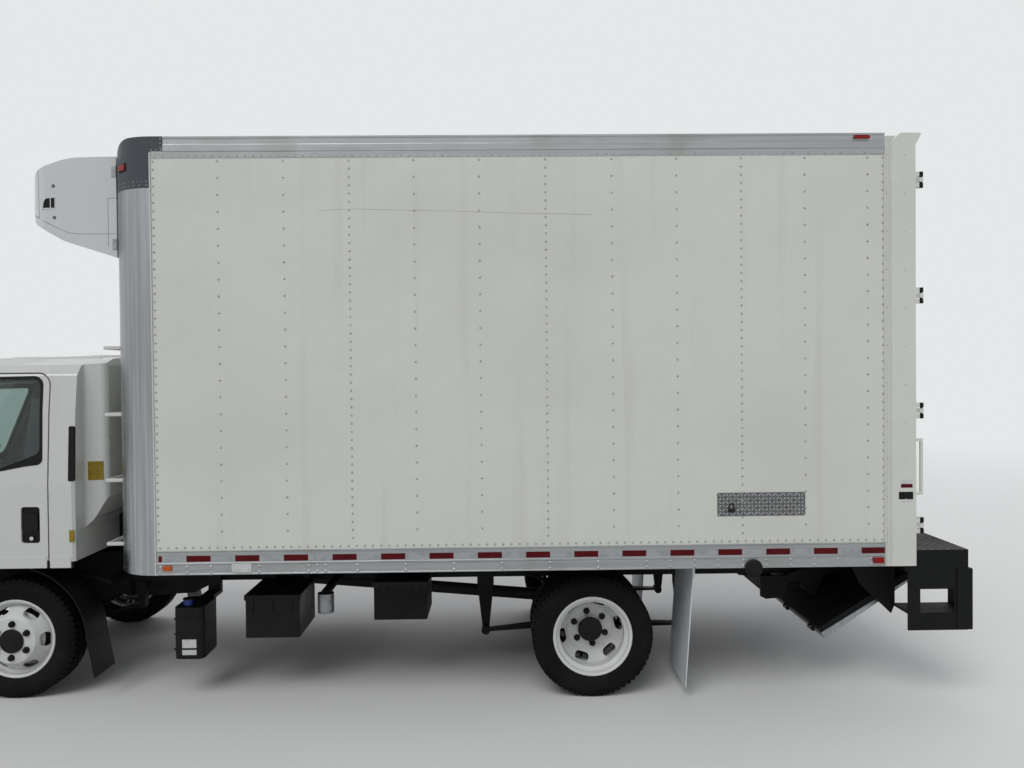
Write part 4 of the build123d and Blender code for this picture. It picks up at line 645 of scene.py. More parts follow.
tread, start, end = tree_with("Tread pattern", (("Part", "Object"), ("Length", "Float"),
                                                ("Width", "Float"), ("Columns", "Int"),
                                                ("Rows", "Int"), ("Place", "Vector"),
                                                ("Turn", "Rotation"), ("Material", "Material")))
grid, index, column, whole, both, parity, lean, about, put, laid = added(
    tread, "GeometryNodeMeshGrid", "GeometryNodeInputIndex", "ShaderNodeMath DIVIDE",
    "ShaderNodeMath FLOOR", "ShaderNodeMath ADD", "ShaderNodeMath MODULO",
    "ShaderNodeMath MULTIPLY_ADD", "ShaderNodeCombineXYZ", "GeometryNodeInstanceOnPoints",
    "GeometryNodeTransform")
parity.inputs[1].default_value = 2.0
lean.inputs[1].default_value = math.pi / 2
lean.inputs[2].default_value = math.pi / 4
wire(tread, (start, "Length", grid, "Size X"), (start, "Width", grid, "Size Y"),
     (start, "Columns", grid, "Vertices X"), (start, "Rows", grid, "Vertices Y"),
     (index, 0, column, 0), (start, "Rows", column, 1), (column, 0, whole, 0), (whole, 0, both, 0),
     (index, 0, both, 1), (both, 0, parity, 0), (parity, 0, lean, 0), (lean, 0, about, "Z"),
     (grid, 0, put, "Points"), (about, 0, put, "Rotation"), (put, 0, laid, "Geometry"),
     (start, "Place", laid, "Translation"), (start, "Turn", laid, "Rotation"))
end_with(tread, start, put, laid, end)


def grow(tree, base, **values):
    """Runs a tree on a mesh of points and edges, and returns the plain mesh."""
    host = bpy.data.objects.new("grower", base)
    scene.collection.objects.link(host)
    modifier = host.modifiers.new("tree", "NODES")
    modifier.node_group = tree
    for item in tree.interface.items_tree:
        if item.in_out == "INPUT" and item.name in values:
            modifier[item.identifier] = values[item.name]
    graph = bpy.context.evaluated_depsgraph_get()
    mesh = bpy.data.meshes.new_from_object(host.evaluated_get(graph), depsgraph=graph)
    bpy.data.objects.remove(host)
    return mesh


def small_part(bm, name):
    """A part that a tree repeats; it is kept out of the picture."""
    return bpy.data.objects.new(name, mesh_of(bm, name))


def seam_mesh(points, edges, facings):
    """Edges between truck points, with the way that parts face at each point."""
    mesh = bpy.data.meshes.new("seams")
    mesh.from_pydata([at(*p) for p in points], edges, [])
    way = mesh.attributes.new("facing", "FLOAT_VECTOR", "POINT")
    for item, facing in zip(way.data, facings):
        item.vector = facing
    return mesh


def rows(lines, facing, part, pitch, kind):
    """Parts along straight lines between pairs of truck points, all facing one way."""
    points = [p for line in lines for p in line]
    base = seam_mesh(points, [(k, k + 1) for k in range(0, len(points), 2)], [facing] * len(points))
    return grow(along, base, Part=part, Spacing=pitch / 1000, Material=F[kind])


def bent_row(points, facings, part, pitch, kind):
    """Parts along one bent path of truck points."""
    base = seam_mesh(points, [(k, k + 1) for k in range(len(points) - 1)], facings)
    return grow(along, base, Part=part, Spacing=pitch / 1000, Material=F[kind])


def single_point():
    """A mesh of one point, for a tree that makes its own places."""
    mesh = bpy.data.meshes.new("point")
    mesh.from_pydata([(0, 0, 0)], [], [])
    return mesh


def joined(meshes):
    """Several meshes as one, without their materials."""
    bm = bmesh.new()
    for mesh in meshes:
        bm.from_mesh(mesh)
    return mesh_of(bm, "joined")


def dome(radius, height, count=8):
    """A low round head that stands on z = 0, in millimetres."""
    bm = bmesh.new()
    levels = ((radius, -0.3), (radius, height * 0.45), (radius * 0.62, height * 0.88))
    angles = [a * math.tau / count for a in range(count)]
    rings = [[bm.verts.new(Vector((r * math.cos(a), r * math.sin(a), z)) / 1000) for a in angles]
             for r, z in levels]
    top = bm.verts.new((0, 0, height / 1000))
    for a, b in zip(rings, rings[1:]):
        band(bm, a, b)
    for k in range(count):
        bm.faces.new((rings[-1][k], rings[-1][(k + 1) % count], top))
    bm.faces.new(rings[0][::-1])
    return small_part(bm, "head")


RIVET = dome(7.5, 3.4)
BOLT = dome(10.0, 5.5)
SMALL_RIVET = dome(4.0, 1.6, 6)
print("trees:", along.name, axle_tree.name, tread.name)

# %% [markdown]
# ## Rivets on the side walls
# The skin of the box is riveted to upright posts inside it. Where two sheets
# meet the rivets are close, and on the posts between they are twice as far
# apart. Rows of rivets also run along the rails at the foot and the top. The
# seams are drawn once for the left side and mirrored for the right.

# %% Rivet the walls
CLOSE, WIDE = 50.8, 101.6
# distance behind the front axle, pitch
SEAMS = ((1066, CLOSE), (1464, WIDE), (1874, WIDE), (2283, CLOSE), (2689, WIDE), (3098, WIDE),
         (3515, CLOSE), (3932, WIDE), (4341, WIDE), (4749, CLOSE), (5152, WIDE), (5552, WIDE),
         (5649, CLOSE))
PANEL_LOW, PANEL_HIGH = 1046.0, 3466.0
ROWS = ((1046, PANEL_Y), (3498, BAND_Y))
count = 0
for side, hand in HANDS:
    found = []
    for pitch in (CLOSE, WIDE):
        lines = [((x, side * PANEL_Y, PANEL_LOW + pitch), (x, side * PANEL_Y, PANEL_HIGH))
                 for x, p in SEAMS if p == pitch]
        found.append(rows(lines, (0, side, 0), RIVET, pitch, "rivet"))
    for z, y in ROWS:
        line = ((1075, side * y, z), (5640, side * y, z))
        found.append(rows([line], (0, side, 0), RIVET, CLOSE, "rivet"))
    made = settle("wall_rivets_" + hand, "chassis", "rivet", joined(found))
    count += len(made.data.polygons)
print("rivet faces:", count)

# %% [markdown]
# ## The bottom rail
# A deep aluminium rail carries the foot of the wall. Its bolts come in two
# rows, one over the other, at the cross members of the floor. The red and
# silver tape that makes the side shine at night is stuck above them: each red
# patch is six inches long and each silver one as well.

# %% Bolts and tape on the bottom rail
TAPE_LOW, TAPE_HIGH, TAPE_LIFT, TAPE_END = 958.0, 996.0, 0.8, 5655
PATCH, PERIOD = 152.4, 304.8
BOLT_X = (1075, 1242, 1392, 1695, 2004, 2058, 2111, 2310, 2614, 2919, 3222, 3525, 3830, 4136, 4288,
          4442, 4592, 4753, 4899, 5053, 5204, 5357, 5568)
BOLT_HIGH, BOLT_LOW = 925, 889
red_spots = [(1065, 1087)] + [(1239 + PERIOD * k, 1239 + PERIOD * k + PATCH) for k in range(15)]
red_spots = [(a, min(b, TAPE_END)) for a, b in red_spots if a < 5640]
gaps = [(a[1], b[0]) for a, b in zip(red_spots, red_spots[1:] + [(TAPE_END, 0)])]
silver_spots = [(a, b) for a, b in gaps if b - a > 5]
for side, hand in HANDS:
    lines = [((x, side * BAND_Y, BOLT_HIGH), (x, side * BAND_Y, BOLT_LOW)) for x in BOLT_X]
    bolts = rows(lines, (0, side, 0), BOLT, BOLT_HIGH - BOLT_LOW, "rail")
    settle("rail_bolts_" + hand, "chassis", "rail", bolts)
    for colour, spots in (("red", red_spots), ("silver", silver_spots)):
        blocks(f"tape_{colour}_{hand}", "tape " + colour,
               [(a, b, side * (BAND_Y - 0.5), side * (BAND_Y + TAPE_LIFT), TAPE_LOW, TAPE_HIGH)
                for a, b in spots])
print("tape patches a side:", len(red_spots))

# %% [markdown]
# ## Lamps and small plates on the side
# Marker lamps sit at the ends of the rail: amber at the front, red at the
# back. Above them a small red lamp stands on the roof rail, and a round black
# cap is let into the bottom rail near the back wheels. They are thin plates
# with round corners, and their own rounding does most of the work.

# %% Side lamps and plates
# name, finish, x from, x to, z from, z to, how far it stands out
SIDE_SPOTS = (("amber_marker", "amber", 1093, 1148, 903, 935, 9),
              ("red_marker", "red", 5581, 5648, 895, 932, 9),
              ("plain_plate", "label", 1522, 1646, 890, 943, 2.2),
              ("roof_lamp", "red", 5464, 5564, 3583, 3602, 12))
for side, hand in HANDS:
    for name, kind, x0, x1, z0, z1, out in SIDE_SPOTS:
        bm = bmesh.new()
        side_plate(bm, rounded(x0, x1, z0, z1, 5), side * (RAIL_Y - 4), side * (RAIL_Y + out))
        piece(f"{name}_{hand}", "chassis", kind, bm, bevel=min(out / 2500, 0.003))
    bm = bmesh.new()
    button(bm, side, 4816, 875, (RAIL_Y - 2, RAIL_Y + 14, RAIL_Y + 18), (55, 48), 32)
    piece("round_cap_" + hand, "chassis", "black", bm)
print("side lamps and plates:", 2 * (len(SIDE_SPOTS) + 1))

# %% [markdown]
# ## Tyres
# A truck tyre is a turned shape, so half of it is only a profile of a dozen
# points. The tread is not turned: its ribs are cut into blocks, and the blocks
# at the shoulder run down the side. One block of each rib is made here and
# the axle tree repeats it all round. The turned part then only needs to reach
# to the bottom of the grooves.

# %% Make the tyres
TYRE_R = AXLE_Z
BLOCKS = 60
GROOVE_R = TYRE_R - 10
# across from the middle plane, radius: the outside of the left half
SIDEWALL = ((84, 249), (91, 258), (97, 266), (103, 272), (106, 285), (110, 300), (112.4, 318),
            (113, 330), (112.2, 338), (112.9, 340), (112.9, 343), (111.4, 345), (108, 358),
            (103, 368), (96, 378), (90, 385), (84, GROOVE_R))
INSIDE = ((78, 252), (84, 300), (90, 330), (82, 360), (60, 372))
# across from, across to, share of the pitch that is rubber, turn in pitches
RIBS = ((-14, 14, 0.93, 0.0), (-48, -21, 0.86, 0.25), (21, 48, 0.86, 0.5))
SHOULDER = ((55, TYRE_R), (86, TYRE_R - 1), (92, TYRE_R - 5), (101.5, 374), (96, 374),
            (55, GROOVE_R - 4))


def tread_block(bm, section, span, turn=0.0):
    """A block over the axle: section is (across, radius), span and turn are angles."""
    rings = []
    for angle in (turn - span / 2, turn, turn + span / 2):
        rings.append([bm.verts.new(Vector((r * math.sin(angle), y, r * math.cos(angle))) / 1000)
                      for y, r in section])
    faces = [bm.faces.new(rings[0]), bm.faces.new(rings[-1][::-1])]
    n = len(section)
    for a, b in zip(rings, rings[1:]):
        faces += [bm.faces.new((a[k], b[k], b[(k + 1) % n], a[(k + 1) % n])) for k in range(n)]
    bmesh.ops.recalc_face_normals(bm, faces=faces)


pitch_angle = math.tau / BLOCKS
bm = bmesh.new()
for y0, y1, fill, turn in RIBS:
    tread_block(bm, ((y0, TYRE_R), (y1, TYRE_R), (y1 + 1.5, GROOVE_R - 3), (y0 - 1.5, GROOVE_R - 3)),
                pitch_angle * fill, pitch_angle * turn)
for side in BOTH:
    tread_block(bm, [(side * y, r) for y, r in SHOULDER], pitch_angle * 0.72,
                pitch_angle * 0.25 * side)
BLOCK = small_part(bm, "block")


def dress_tyre(node, centres, x):
    """Turned sidewalls and repeated blocks for each tyre of a node."""
    found = []
    for centre in centres:
        shape = ([(centre - y, r) for y, r in SIDEWALL] + [(centre + y, r) for y, r in SIDEWALL[::-1]]
                 + [(centre + y, r) for y, r in INSIDE] + [(centre - y, r) for y, r in INSIDE[::-1]])
        bm = bmesh.new()
        turned(bm, shape, x, count=96)
        blocks_round = grow(axle_tree, single_point(), Part=BLOCK, Count=BLOCKS,
                            Centre=at(x, centre, AXLE_Z), Phase=0.0, Material=F["tyre"])
        found += [mesh_of(bm, "ring"), blocks_round]
    made = settle(node + "_rubber", body_of_node[node], "tyre", joined(found), sharp=28)
    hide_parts(node)
    return len(made.data.polygons)


FRONT_Y, REAR_Y = 833.0, (698.0, 952.0)
for side, hand in HANDS:
    a = dress_tyre("tyre_front_" + hand, (side * FRONT_Y,), 0)
    b = dress_tyre("tyre_rear_" + hand, [side * y for y in REAR_Y], WHEELBASE)
print("tyre faces:", a, "front,", b, "rear")

# %% [markdown]
# ## Wheels and their nuts
# The pressed wheel discs come from the CAD. Six studs hold each, and the black
# nuts with their washers are what the eye finds first on a white wheel. One
# nut is made here and the axle tree repeats it. The hub has a black cap.

# %% Dress the wheels
STUD_CIRCLE, NUT_ACROSS, NUT_HIGH = 111.0, 33.0, 20.0


def wheel_nut(side):
    """One nut, washer and stud end above the axle, facing out of the truck."""
    bm = bmesh.new()
    for radius, low, high, count in ((22, -0.5, 4, 20), (NUT_ACROSS / math.sqrt(3), 4, NUT_HIGH, 6),
                                     (9, NUT_HIGH - 1, NUT_HIGH + 8, 10)):
        place = (Matrix.Translation((0, side * (low + high) / 2000, STUD_CIRCLE / 1000))
                 @ Matrix.Rotation(math.radians(90), 4, "X"))
        bmesh.ops.create_cone(bm, cap_ends=True, segments=count, radius1=radius / 1000,
                              radius2=radius / 1000, depth=(high - low) / 1000, matrix=place)
    edges = [e for e in bm.edges if e.calc_face_angle(0) > 0.9]
    bmesh.ops.bevel(bm, geom=edges, offset=0.0011, segments=1, affect="EDGES")
    return small_part(bm, "wheel nut")


# node, x, face of the disc, hub cap profile of (out from the face, radius), turn of the studs
WHEELS = (("wheel_front_", 0, 970, ((4, 80), (9, 79), (13, 73), (15, 40), (15, 0)), 2),
          ("wheel_rear_", WHEELBASE, 836, ((40, 81), (56, 80), (61, 74), (63, 40), (63, 0)), 50))
for prefix, x, face, cap, turn in WHEELS:
    for side, hand in HANDS:
        node = prefix + hand
        dressed[node] = round_edges(node, "wheel", 2.0)
        nuts = grow(axle_tree, single_point(), Part=wheel_nut(side), Count=6,
                    Centre=at(x, side * face, AXLE_Z), Phase=math.radians(turn), Material=F["black"])
        settle(node + "_nuts", node, "black", nuts)
        bm = bmesh.new()
        profile = [(side * (face + cap[0][0]), 0)] + [(side * (face + out), r) for out, r in cap]
        turned(bm, profile, x, count=48, closed=False)
        piece(node + "_hub_cap", node, "black", bm)
print("wheels dressed:", 2 * len(WHEELS))

# %% [markdown]
# ## Some faces of a CAD piece in another finish
# A hinge is black on a white frame, and a filler cap is blue on a black tank.
# The CAD keeps such things in one solid. The copy that stands for the solid can
# hold several materials, so the faces whose middle passes a test get their own.
# Three tints are painted shade: the cab's tunnel and the wheels' insides are darkened where shade falls.


# %% Give single faces another finish
def tint(node, kind, test):
    """Another finish for the faces of a dressed node that pass a test of (x, y, z), in truck measures."""
    mesh = dressed[node].data
    mesh.materials.append(F[kind])
    count = 0
    for face in mesh.polygons:
        c = face.center
        if test(c.x * 1000 + MIDDLE, c.y * 1000, c.z * 1000):
            face.material_index = len(mesh.materials) - 1
            count += 1
    return count


found = {
    "hinges": tint("cargo_rear_frame", "steel", lambda x, y, z: x > 5859 and 1000 < z < 3460
                   and not 1290 < z < 1700),
    "front lamps": tint("marker_lamps", "amber", lambda x, y, z: x < 3000),
    "filler cap": tint("def_tank", "blue", lambda x, y, z: z > 604 and y < -865),
    "canister": tint("equipment_boxes", "zinc", lambda x, y, z: x < 2100 and z < 654),
    "dock pads": tint("dock_bumpers", "rubber", lambda x, y, z: x > 6203),
    "mirror glass": tint("mirrors", "chrome", lambda x, y, z: x > -927 and abs(y) > 1105 and z > 1490),
    "lift edge": tint("lift_flap", "zinc", lambda x, y, z: z < 500),
    "grille back": tint("cab_shell", "black", lambda x, y, z: x < -1130 and abs(y) < 641
                        and 986 < z < 1129),
    # painted shade: the inside of each white front wheel is darkened where shade falls
    "front wheel insides in painted shade": sum(tint("wheel_front_" + hand, "cast", lambda x, y, z: abs(y) < 872
                            and math.hypot(x, z - AXLE_Z) < 226) for _, hand in HANDS),
    # painted shade: the inner dual wheel and the inside of the outer one are darkened where shade falls
    "rear wheel insides in painted shade": sum(tint("wheel_rear_" + hand, "cast", lambda x, y, z: abs(y) < 815
                             and math.hypot(x - WHEELBASE, z - AXLE_Z) < 226) for _, hand in HANDS),
    "lock rods": sum(tint("cargo_door_" + hand, "zinc", lambda x, y, z: x > 5860
                          and 195 < abs(y) < 560) for _, hand in HANDS),
    "step wells": tint("cab_shell", "black", lambda x, y, z: -1052 < x < -558
                       and 655 < abs(y) < 1004 and 562 < z < 872),
    # painted shade: this body-coloured part under the cab floor is made black where it lies in shade
    "tunnel": tint("cab_shell", "steel", lambda x, y, z: x > -720 and abs(y) < 385 and z < 1185),
}
print("faces in another finish:", found)

# %% [markdown]
# ## Trim on the box
# A white strip covers the joint between the rounded corner and the side sheet.
# The plastic cap over the corner is held by two rows of rivets that follow its
# round edge, and a red marker lamp in a dark frame is let into it. Because the
# rows bend, each point of their path carries the way that its rivet faces.

# %% Trim strips, cap rivets and cap lamps
CORNER_X, CORNER_Y, CORNER_R = 1046.0, 914.0, 305.0
strips = []
for side in BOTH:
    strips += [(1043, 1051, side * (BAND_Y - 1), side * (RAIL_Y + 1.5), 874, 3520),
               (5653, 5660, side * (PANEL_Y - 1), side * (RAIL_Y - 0.5), 1029, 3482)]
blocks("trim_strips", "white", strips, bevel=0.0012)


def corner_path(side, z, radius, start=4, stop=88, steps=10):
    """A path round the box's front corner, and the way outwards along it."""
    points, ways = [], []
    for k in range(steps + 1):
        a = math.radians(start + (stop - start) * k / steps)
        points.append((CORNER_X - radius * math.sin(a), side * (CORNER_Y + radius * math.cos(a)), z))
        ways.append((-math.sin(a), side * math.cos(a), 0))
    return points, ways


found = []
for side in BOTH:
    out = (0, side, 0)
    # height, pitch, radius: two rows on the cap, and two round the foot of the aluminium corner
    for z, pitch, radius in ((3318, 42, CORNER_R - 0.5), (3342, 28, CORNER_R - 0.5),
                             (905, 75, CORNER_R - 0.3), (1040, 75, CORNER_R - 0.3)):
        found.append(bent_row(*corner_path(side, z, radius), SMALL_RIVET, pitch, "rivet"))
    lines = [((1060, side * RAIL_Y, 3536), (1120, side * RAIL_Y, 3536)),
             ((1116, side * RAIL_Y, 3548), (1116, side * RAIL_Y, 3604))]
    found.append(rows(lines, out, SMALL_RIVET, 21, "rivet"))
    lines = [((x, side * RAIL_Y, z), (x, side * RAIL_Y, 3480)) for x, z in ((5673, 1080), (5790, 1060))]
    found.append(rows(lines, out, SMALL_RIVET, 230, "rivet"))
settle("cap_rivets", "chassis", "rivet", joined(found))

for name, kind, out, grown in (("cap_lamp_frames", "black", 5, 7), ("cap_lamps", "red", 9, 0)):
    bm = bmesh.new()
    for side in BOTH:
        outer, _ = corner_path(side, 0, CORNER_R + out, 34 - grown / 5, 50 + grown / 5, 6)
        inner, _ = corner_path(side, 0, CORNER_R - 3, 34 - grown / 5, 50 + grown / 5, 6)
        plan_plate(bm, [(x, y) for x, y, _ in outer + inner[::-1]], 3424 - grown, 3462 + grown)
    piece(name, "chassis", kind, bm, bevel=0.002)
print("cap rivets:", sum(len(m.polygons) for m in found), "faces")

# %% [markdown]
# ## A patch of tread plate, plates and labels
# Tread plate has raised bars that lean left and right in turn. The third tree
# lays that pattern over any rectangle. Here it makes a repair patch on the
# wall and the anti-slip deck behind the doors. The patch has rivets and a small
# latch, and a long scratch runs high on the wall. The plates and labels of the
# real truck are kept, but bare.

# %% Tread plate, latch, scratch and bare plates
tread_bar = bmesh.new()
bmesh.ops.create_cone(tread_bar, cap_ends=True, segments=8, radius1=0.0042, radius2=0.0022,
                      depth=0.0026, matrix=Matrix.Translation((0, 0, 0.0011))
                      @ Matrix.Diagonal((2.6, 1.0, 1.0, 1.0)))
TREAD_BAR = small_part(tread_bar, "tread bar")
FLAT, UPRIGHT = (0, 0, 0), (math.radians(90), 0, 0)


def tread_area(length, width, place, turn, kind, pitch):
    """Raised bars over a rectangle about a place; its sides are in millimetres."""
    return grow(tread, single_point(), Part=TREAD_BAR, Length=(length - pitch) / 1000,
                Width=(width - pitch) / 1000, Columns=max(2, round(length / pitch)),
                Rows=max(2, round(width / pitch)), Place=place, Turn=turn, Material=F[kind])


PATCH_Y = -PANEL_Y - 2
bm = bmesh.new()
side_plate(bm, rounded(4588, 5148, 1205, 1354, 6), -PANEL_Y + 1, PATCH_Y)
piece("patch_plate", "chassis", "tread", bm, bevel=0.0006)
patch = tread_area(548, 138, at(4868, PATCH_Y, 1279.5), UPRIGHT, "rail", 23.0)
settle("patch_pattern", "chassis", "rivet", patch)
lines = [((4598, PATCH_Y, z), (5140, PATCH_Y, z)) for z in (1213, 1346)]
settle("patch_rivets", "chassis", "rivet", rows(lines, (0, -1, 0), SMALL_RIVET, 45, "rivet"))

bm = bmesh.new()
side_plate(bm, rounded(4655, 4700, 1230, 1252, 5), -PANEL_Y - 1, -PANEL_Y - 10)
bow = [(4677.5 + 15.5 * math.cos(a), 1272 + 14 * math.sin(a))
       for a in (math.pi, 2.4, math.pi / 2, 0.74, 0)]
bar(bm, [(x, -PANEL_Y - 6, z) for x, z in [(4662, 1248)] + bow + [(4693, 1248)]], 4)
piece("patch_latch", "chassis", "cast", bm, bevel=0.001)
SCRATCH = ((2078, 3151), (2150, 3158), (2317, 3163), (2600, 3153), (2900, 3147), (3120, 3138),
           (3356, 3129), (3560, 3125), (3803, 3118))
bm = bmesh.new()
bar(bm, [(x, -PANEL_Y + 1.2, z) for x, z in SCRATCH], 2.2, 8)
piece("wall_scratch", "chassis", "rivet", bm)

deck = [tread_area(350, 2380, at(6021, 0, 972), FLAT, "steel", 27.0)]
deck += [tread_area(390, 215, at(5998, side * 1086, 571), FLAT, "steel", 24.0) for side in BOTH]
settle("deck_pattern", "chassis", "steel", joined(deck))

# name, finish, x from, x to, z from, z to, face, how far it stands out
SIDE_PLATES = (("post_label_white", "label", 5758, 5832, 1398, 1424, RAIL_Y, 0.6),
               ("post_label_red", "tape red", 5758, 5832, 1374, 1398, RAIL_Y, 0.6),
               ("post_label_dark", "black", 5744, 5836, 1300, 1348, RAIL_Y, 0.6),
               ("post_label_foot", "label", 5758, 5832, 1282, 1300, RAIL_Y, 0.6),
               ("tank_label", "label", 1112, 1205, 290, 392, 975, 0.8))
for name, kind, x0, x1, z0, z1, y, out in SIDE_PLATES:
    bm = bmesh.new()
    side_plate(bm, rounded(x0, x1, z0, z1, 3), -y + 1, -y - out)
    piece(name, "chassis", kind, bm)
print("tread pattern:", sum(len(m.polygons) for m in deck), "faces on the deck")

# %% [markdown]
# ## Panels of the cooling unit
# The hood is three mouldings with dark joints between them, which the CAD has
# as grooves. A recessed handle with two dark halves and a pair of screw plugs
# are on each side, and the hood meets the box with two brackets on each side.

# %% Handles, plugs and brackets of the cooling unit
HANDLE_RIM = ((258, 3215), (262, 3262), (282, 3292), (350, 3296), (350, 3215))
HANDLE_FRONT = ((268, 3224), (274, 3262), (287, 3284), (313, 3287), (313, 3224))
HANDLE_BACK = ((320, 3224), (320, 3288), (343, 3288), (343, 3224))
for name, kind, parts, out in (("hood_handle_rims", "reefer", (HANDLE_RIM,), 1002),
                               ("hood_handles", "black", (HANDLE_FRONT, HANDLE_BACK), 1004)):
    bm = bmesh.new()
    for side in BOTH:
        for outline in parts:
            side_plate(bm, outline, side * 975, side * out)
    piece(name, "chassis", kind, bm, bevel=0.0015)
bm = bmesh.new()
for side in BOTH:
    for x, z in ((336, 3365), (340, 3161)):
        button(bm, side, x, z, (980, 1002, 1003.5), (11, 8), 16)
piece("hood_plugs", "chassis", "grey", bm)
blocks("hood_brackets", "zinc", [(712, 740, side * 985, side * 1004, z, z + 70)
                                 for side in BOTH for z in (2950, 3420)], 0.002)
print("cooling unit dressed")

# %% [markdown]
# ## The back of the box
# Each rear door is held shut by an upright lock rod whose cams hook into
# keepers on the frame, and it hangs on four hinges, each with a row of bolts.
# The rods and the hinges come from the CAD. The keepers are small blocks, and
# the bolts come from the tree that also set the rivets.

# %% Keepers and bolts at the back
blocks("lock_keepers", "zinc", [(5852, 5878, y + side * 22, y + side * 45, z0, z1)
                                for y in (-240, 240) for side in BOTH
                                for z0, z1 in ((974, 987), (3500, 3540))], bevel=0.003)
for side, hand in HANDS:
    lines = [((5868, side * 1090, z), (5868, side * 1030, z)) for z in (1133, 1863, 2593, 3323)]
    bolts = rows(lines, (1, 0, 0), BOLT, 30, "zinc")
    settle("door_bolts_" + hand, "cargo_door_" + hand, "zinc", bolts)
print("keepers and hinge bolts are in")

# %% [markdown]
# ## Trim on the cab
# The doors of a truck cab have a black border round the glass, a black pull
# handle in a pocket, a lock and a white band at the foot. The side of the cab
# leans in above the waist, so one small function gives its distance from the
# middle at any height, and flat outlines are laid on it. Outlines with round
# corners get points along their straight sides too, so that they can bend.


# %% Window borders, handles and vents
WAIST_Z, BROW_Z = 1420, 1900


def skin(z, lift=0.0):
    """How far the cab's side is from the middle at a height."""
    if z < WAIST_Z:
        return 1015 + lift
    if z < BROW_Z:
        return 1015 - (z - WAIST_Z) * 0.0625 + lift
    return 985 - (z - BROW_Z) * 0.125 + lift


def soft(corners, steps=5, fill=10):
    """An outline of (u, v, radius) with round corners; each corner and side gets a set number of points."""
    made = []
    for k, (x, z, r) in enumerate(corners):
        p = Vector((x, z))
        a = (Vector(corners[k - 1][:2]) - p).normalized()
        b = (Vector(corners[(k + 1) % len(corners)][:2]) - p).normalized()
        half = a.angle(b) / 2
        reach = r / math.tan(half)
        centre = p + (a + b).normalized() * (r / math.sin(half))
        start, end = p + a * reach - centre, p + b * reach - centre
        bend = [centre + start.lerp(end, step / steps).normalized() * r for step in range(steps + 1)]
        if made:
            made += [made[-1].lerp(bend[0], step / fill) for step in range(1, fill)]
        made += bend
    return made + [made[-1].lerp(made[0], step / fill) for step in range(1, fill)]


HOLE = ((-735, 1480, 40), (-575, 2105, 60), (212, 2118, 55), (218, 1635, 45), (120, 1592, 60),
        (-60, 1530, 60))
BORDER = ((-757, 1462, 44), (-590, 2122, 66), (230, 2136, 62), (238, 1560, 40), (120, 1546, 60),
          (-60, 1512, 60))


def border_ring(place, levels):
    """A flat ring between two outlines; place() turns a point of an outline and a lift into a spot."""
    bm = bmesh.new()
    loops = [[bm.verts.new(place(p, lift)) for p in soft(outline)] for outline, lift in levels]
    faces = []
    for a, b in zip(loops, loops[1:] + loops[:1]):
        faces += band(bm, a, b)
    bmesh.ops.recalc_face_normals(bm, faces=faces)
    return bm


BAND_FOOT, BAND_TOP = 884, 963
bands, vents, slats = bmesh.new(), bmesh.new(), bmesh.new()
for side, hand in HANDS:
    door = "cab_door_" + hand
    ring = border_ring(lambda p, lift: at(p.x, side * skin(p.y, lift), p.y),
                       ((HOLE, -12), (HOLE, 2.5), (BORDER, 2.5), (BORDER, -4)))
    piece("window_border_" + hand, door, "black", ring)
    bm = bmesh.new()
    side_plate(bm, rounded(99, 219, 1049, 1283, 20), side * 997, side * 1000)
    side_plate(bm, rounded(112, 206, 1118, 1240, 16), side * 999, side * 1014)
    piece("door_pull_" + hand, door, "black", bm, bevel=0.004, segments=3)
    bm = bmesh.new()
    button(bm, side, 165, 1078, (1013, 1016.5, 1017.5), (13, 10), 20)
    piece("door_lock_" + hand, door, "chrome", bm)
    bm = bmesh.new()
    side_plate(bm, rounded(-868, 263, BAND_FOOT, BAND_TOP, 6), side * 1010, side * 1019.5)
    piece("door_band_" + hand, door, "white", bm, bevel=0.004)
    side_plate(bands, rounded(282, 418, BAND_FOOT, BAND_TOP, 6), side * 1010, side * 1019.5)
    pushed(vents, rounded(404, 445, 1448, 1806, 10), lambda x, z: at(x, side * skin(z, -12), z),
           lambda x, z: at(x, side * skin(z, 3.5), z))
    for z in range(1474, 1812, 26):
        box(slats, 409, 440, side * (skin(z) - 1), side * (skin(z) + 5.5), z - 3, z + 3)
piece("pillar_bands", "cab", "white", bands, bevel=0.004)
piece("pillar_vents", "cab", "black", vents, bevel=0.003)
piece("pillar_vent_slats", "cab", "black", slats, bevel=0.001)
print("border points:", len(soft(HOLE)))

# %% [markdown]
# ## The front of the cab
# The front is not seen in the photograph, so it is kept plain: a black border
# round the windscreen, two wipers, lamp bowls behind the headlamp lenses, and
# amber turn lamps beside them. The grille is in the CAD. Two small yellow plates
# on each side of the cab, and a white strip with holes on the box behind it,
# are made here too.

# %% Screen border, wipers, lamps, plates and strip
LEAN = math.atan(350 / 740)


def front_x(z, lift=0.0):
    """Where the windscreen's flat plane is at a height; a lift moves it forward."""
    return -1150 + (z - 1370) * math.tan(LEAN) - lift / math.cos(LEAN)


PANE = ((-848, 1422, 8), (-788.5, 2078, 8), (788.5, 2078, 8), (848, 1422, 8))
CLEAR = ((-792, 1482, 50), (-742, 2034, 50), (742, 2034, 50), (792, 1482, 50))
screen = border_ring(lambda p, lift: at(front_x(p.y, lift), p.x, p.y),
                     ((PANE, -19.6), (PANE, -2), (CLEAR, -17), (CLEAR, -19.6)))
piece("screen_border", "cab", "black", screen)

bm = bmesh.new()
for y0, y1 in ((-620, -60), (60, 620)):
    pivot = (front_x(1392) - 14, y0, 1392)
    tip = (front_x(1500) + 2, y1 - 40, 1500)
    bar(bm, [pivot, (front_x(1425) - 12, y0 + 60, 1425), tip], 6)
    bar(bm, [(tip[0] + 8, tip[1] - 260, tip[2] - 55), (tip[0] + 2, tip[1] + 190, tip[2] + 42)], 5)
    bar(bm, [(pivot[0] + 25, pivot[1], pivot[2]), (pivot[0] - 8, pivot[1], pivot[2])], 13)
piece("wipers", "cab", "black", bm)

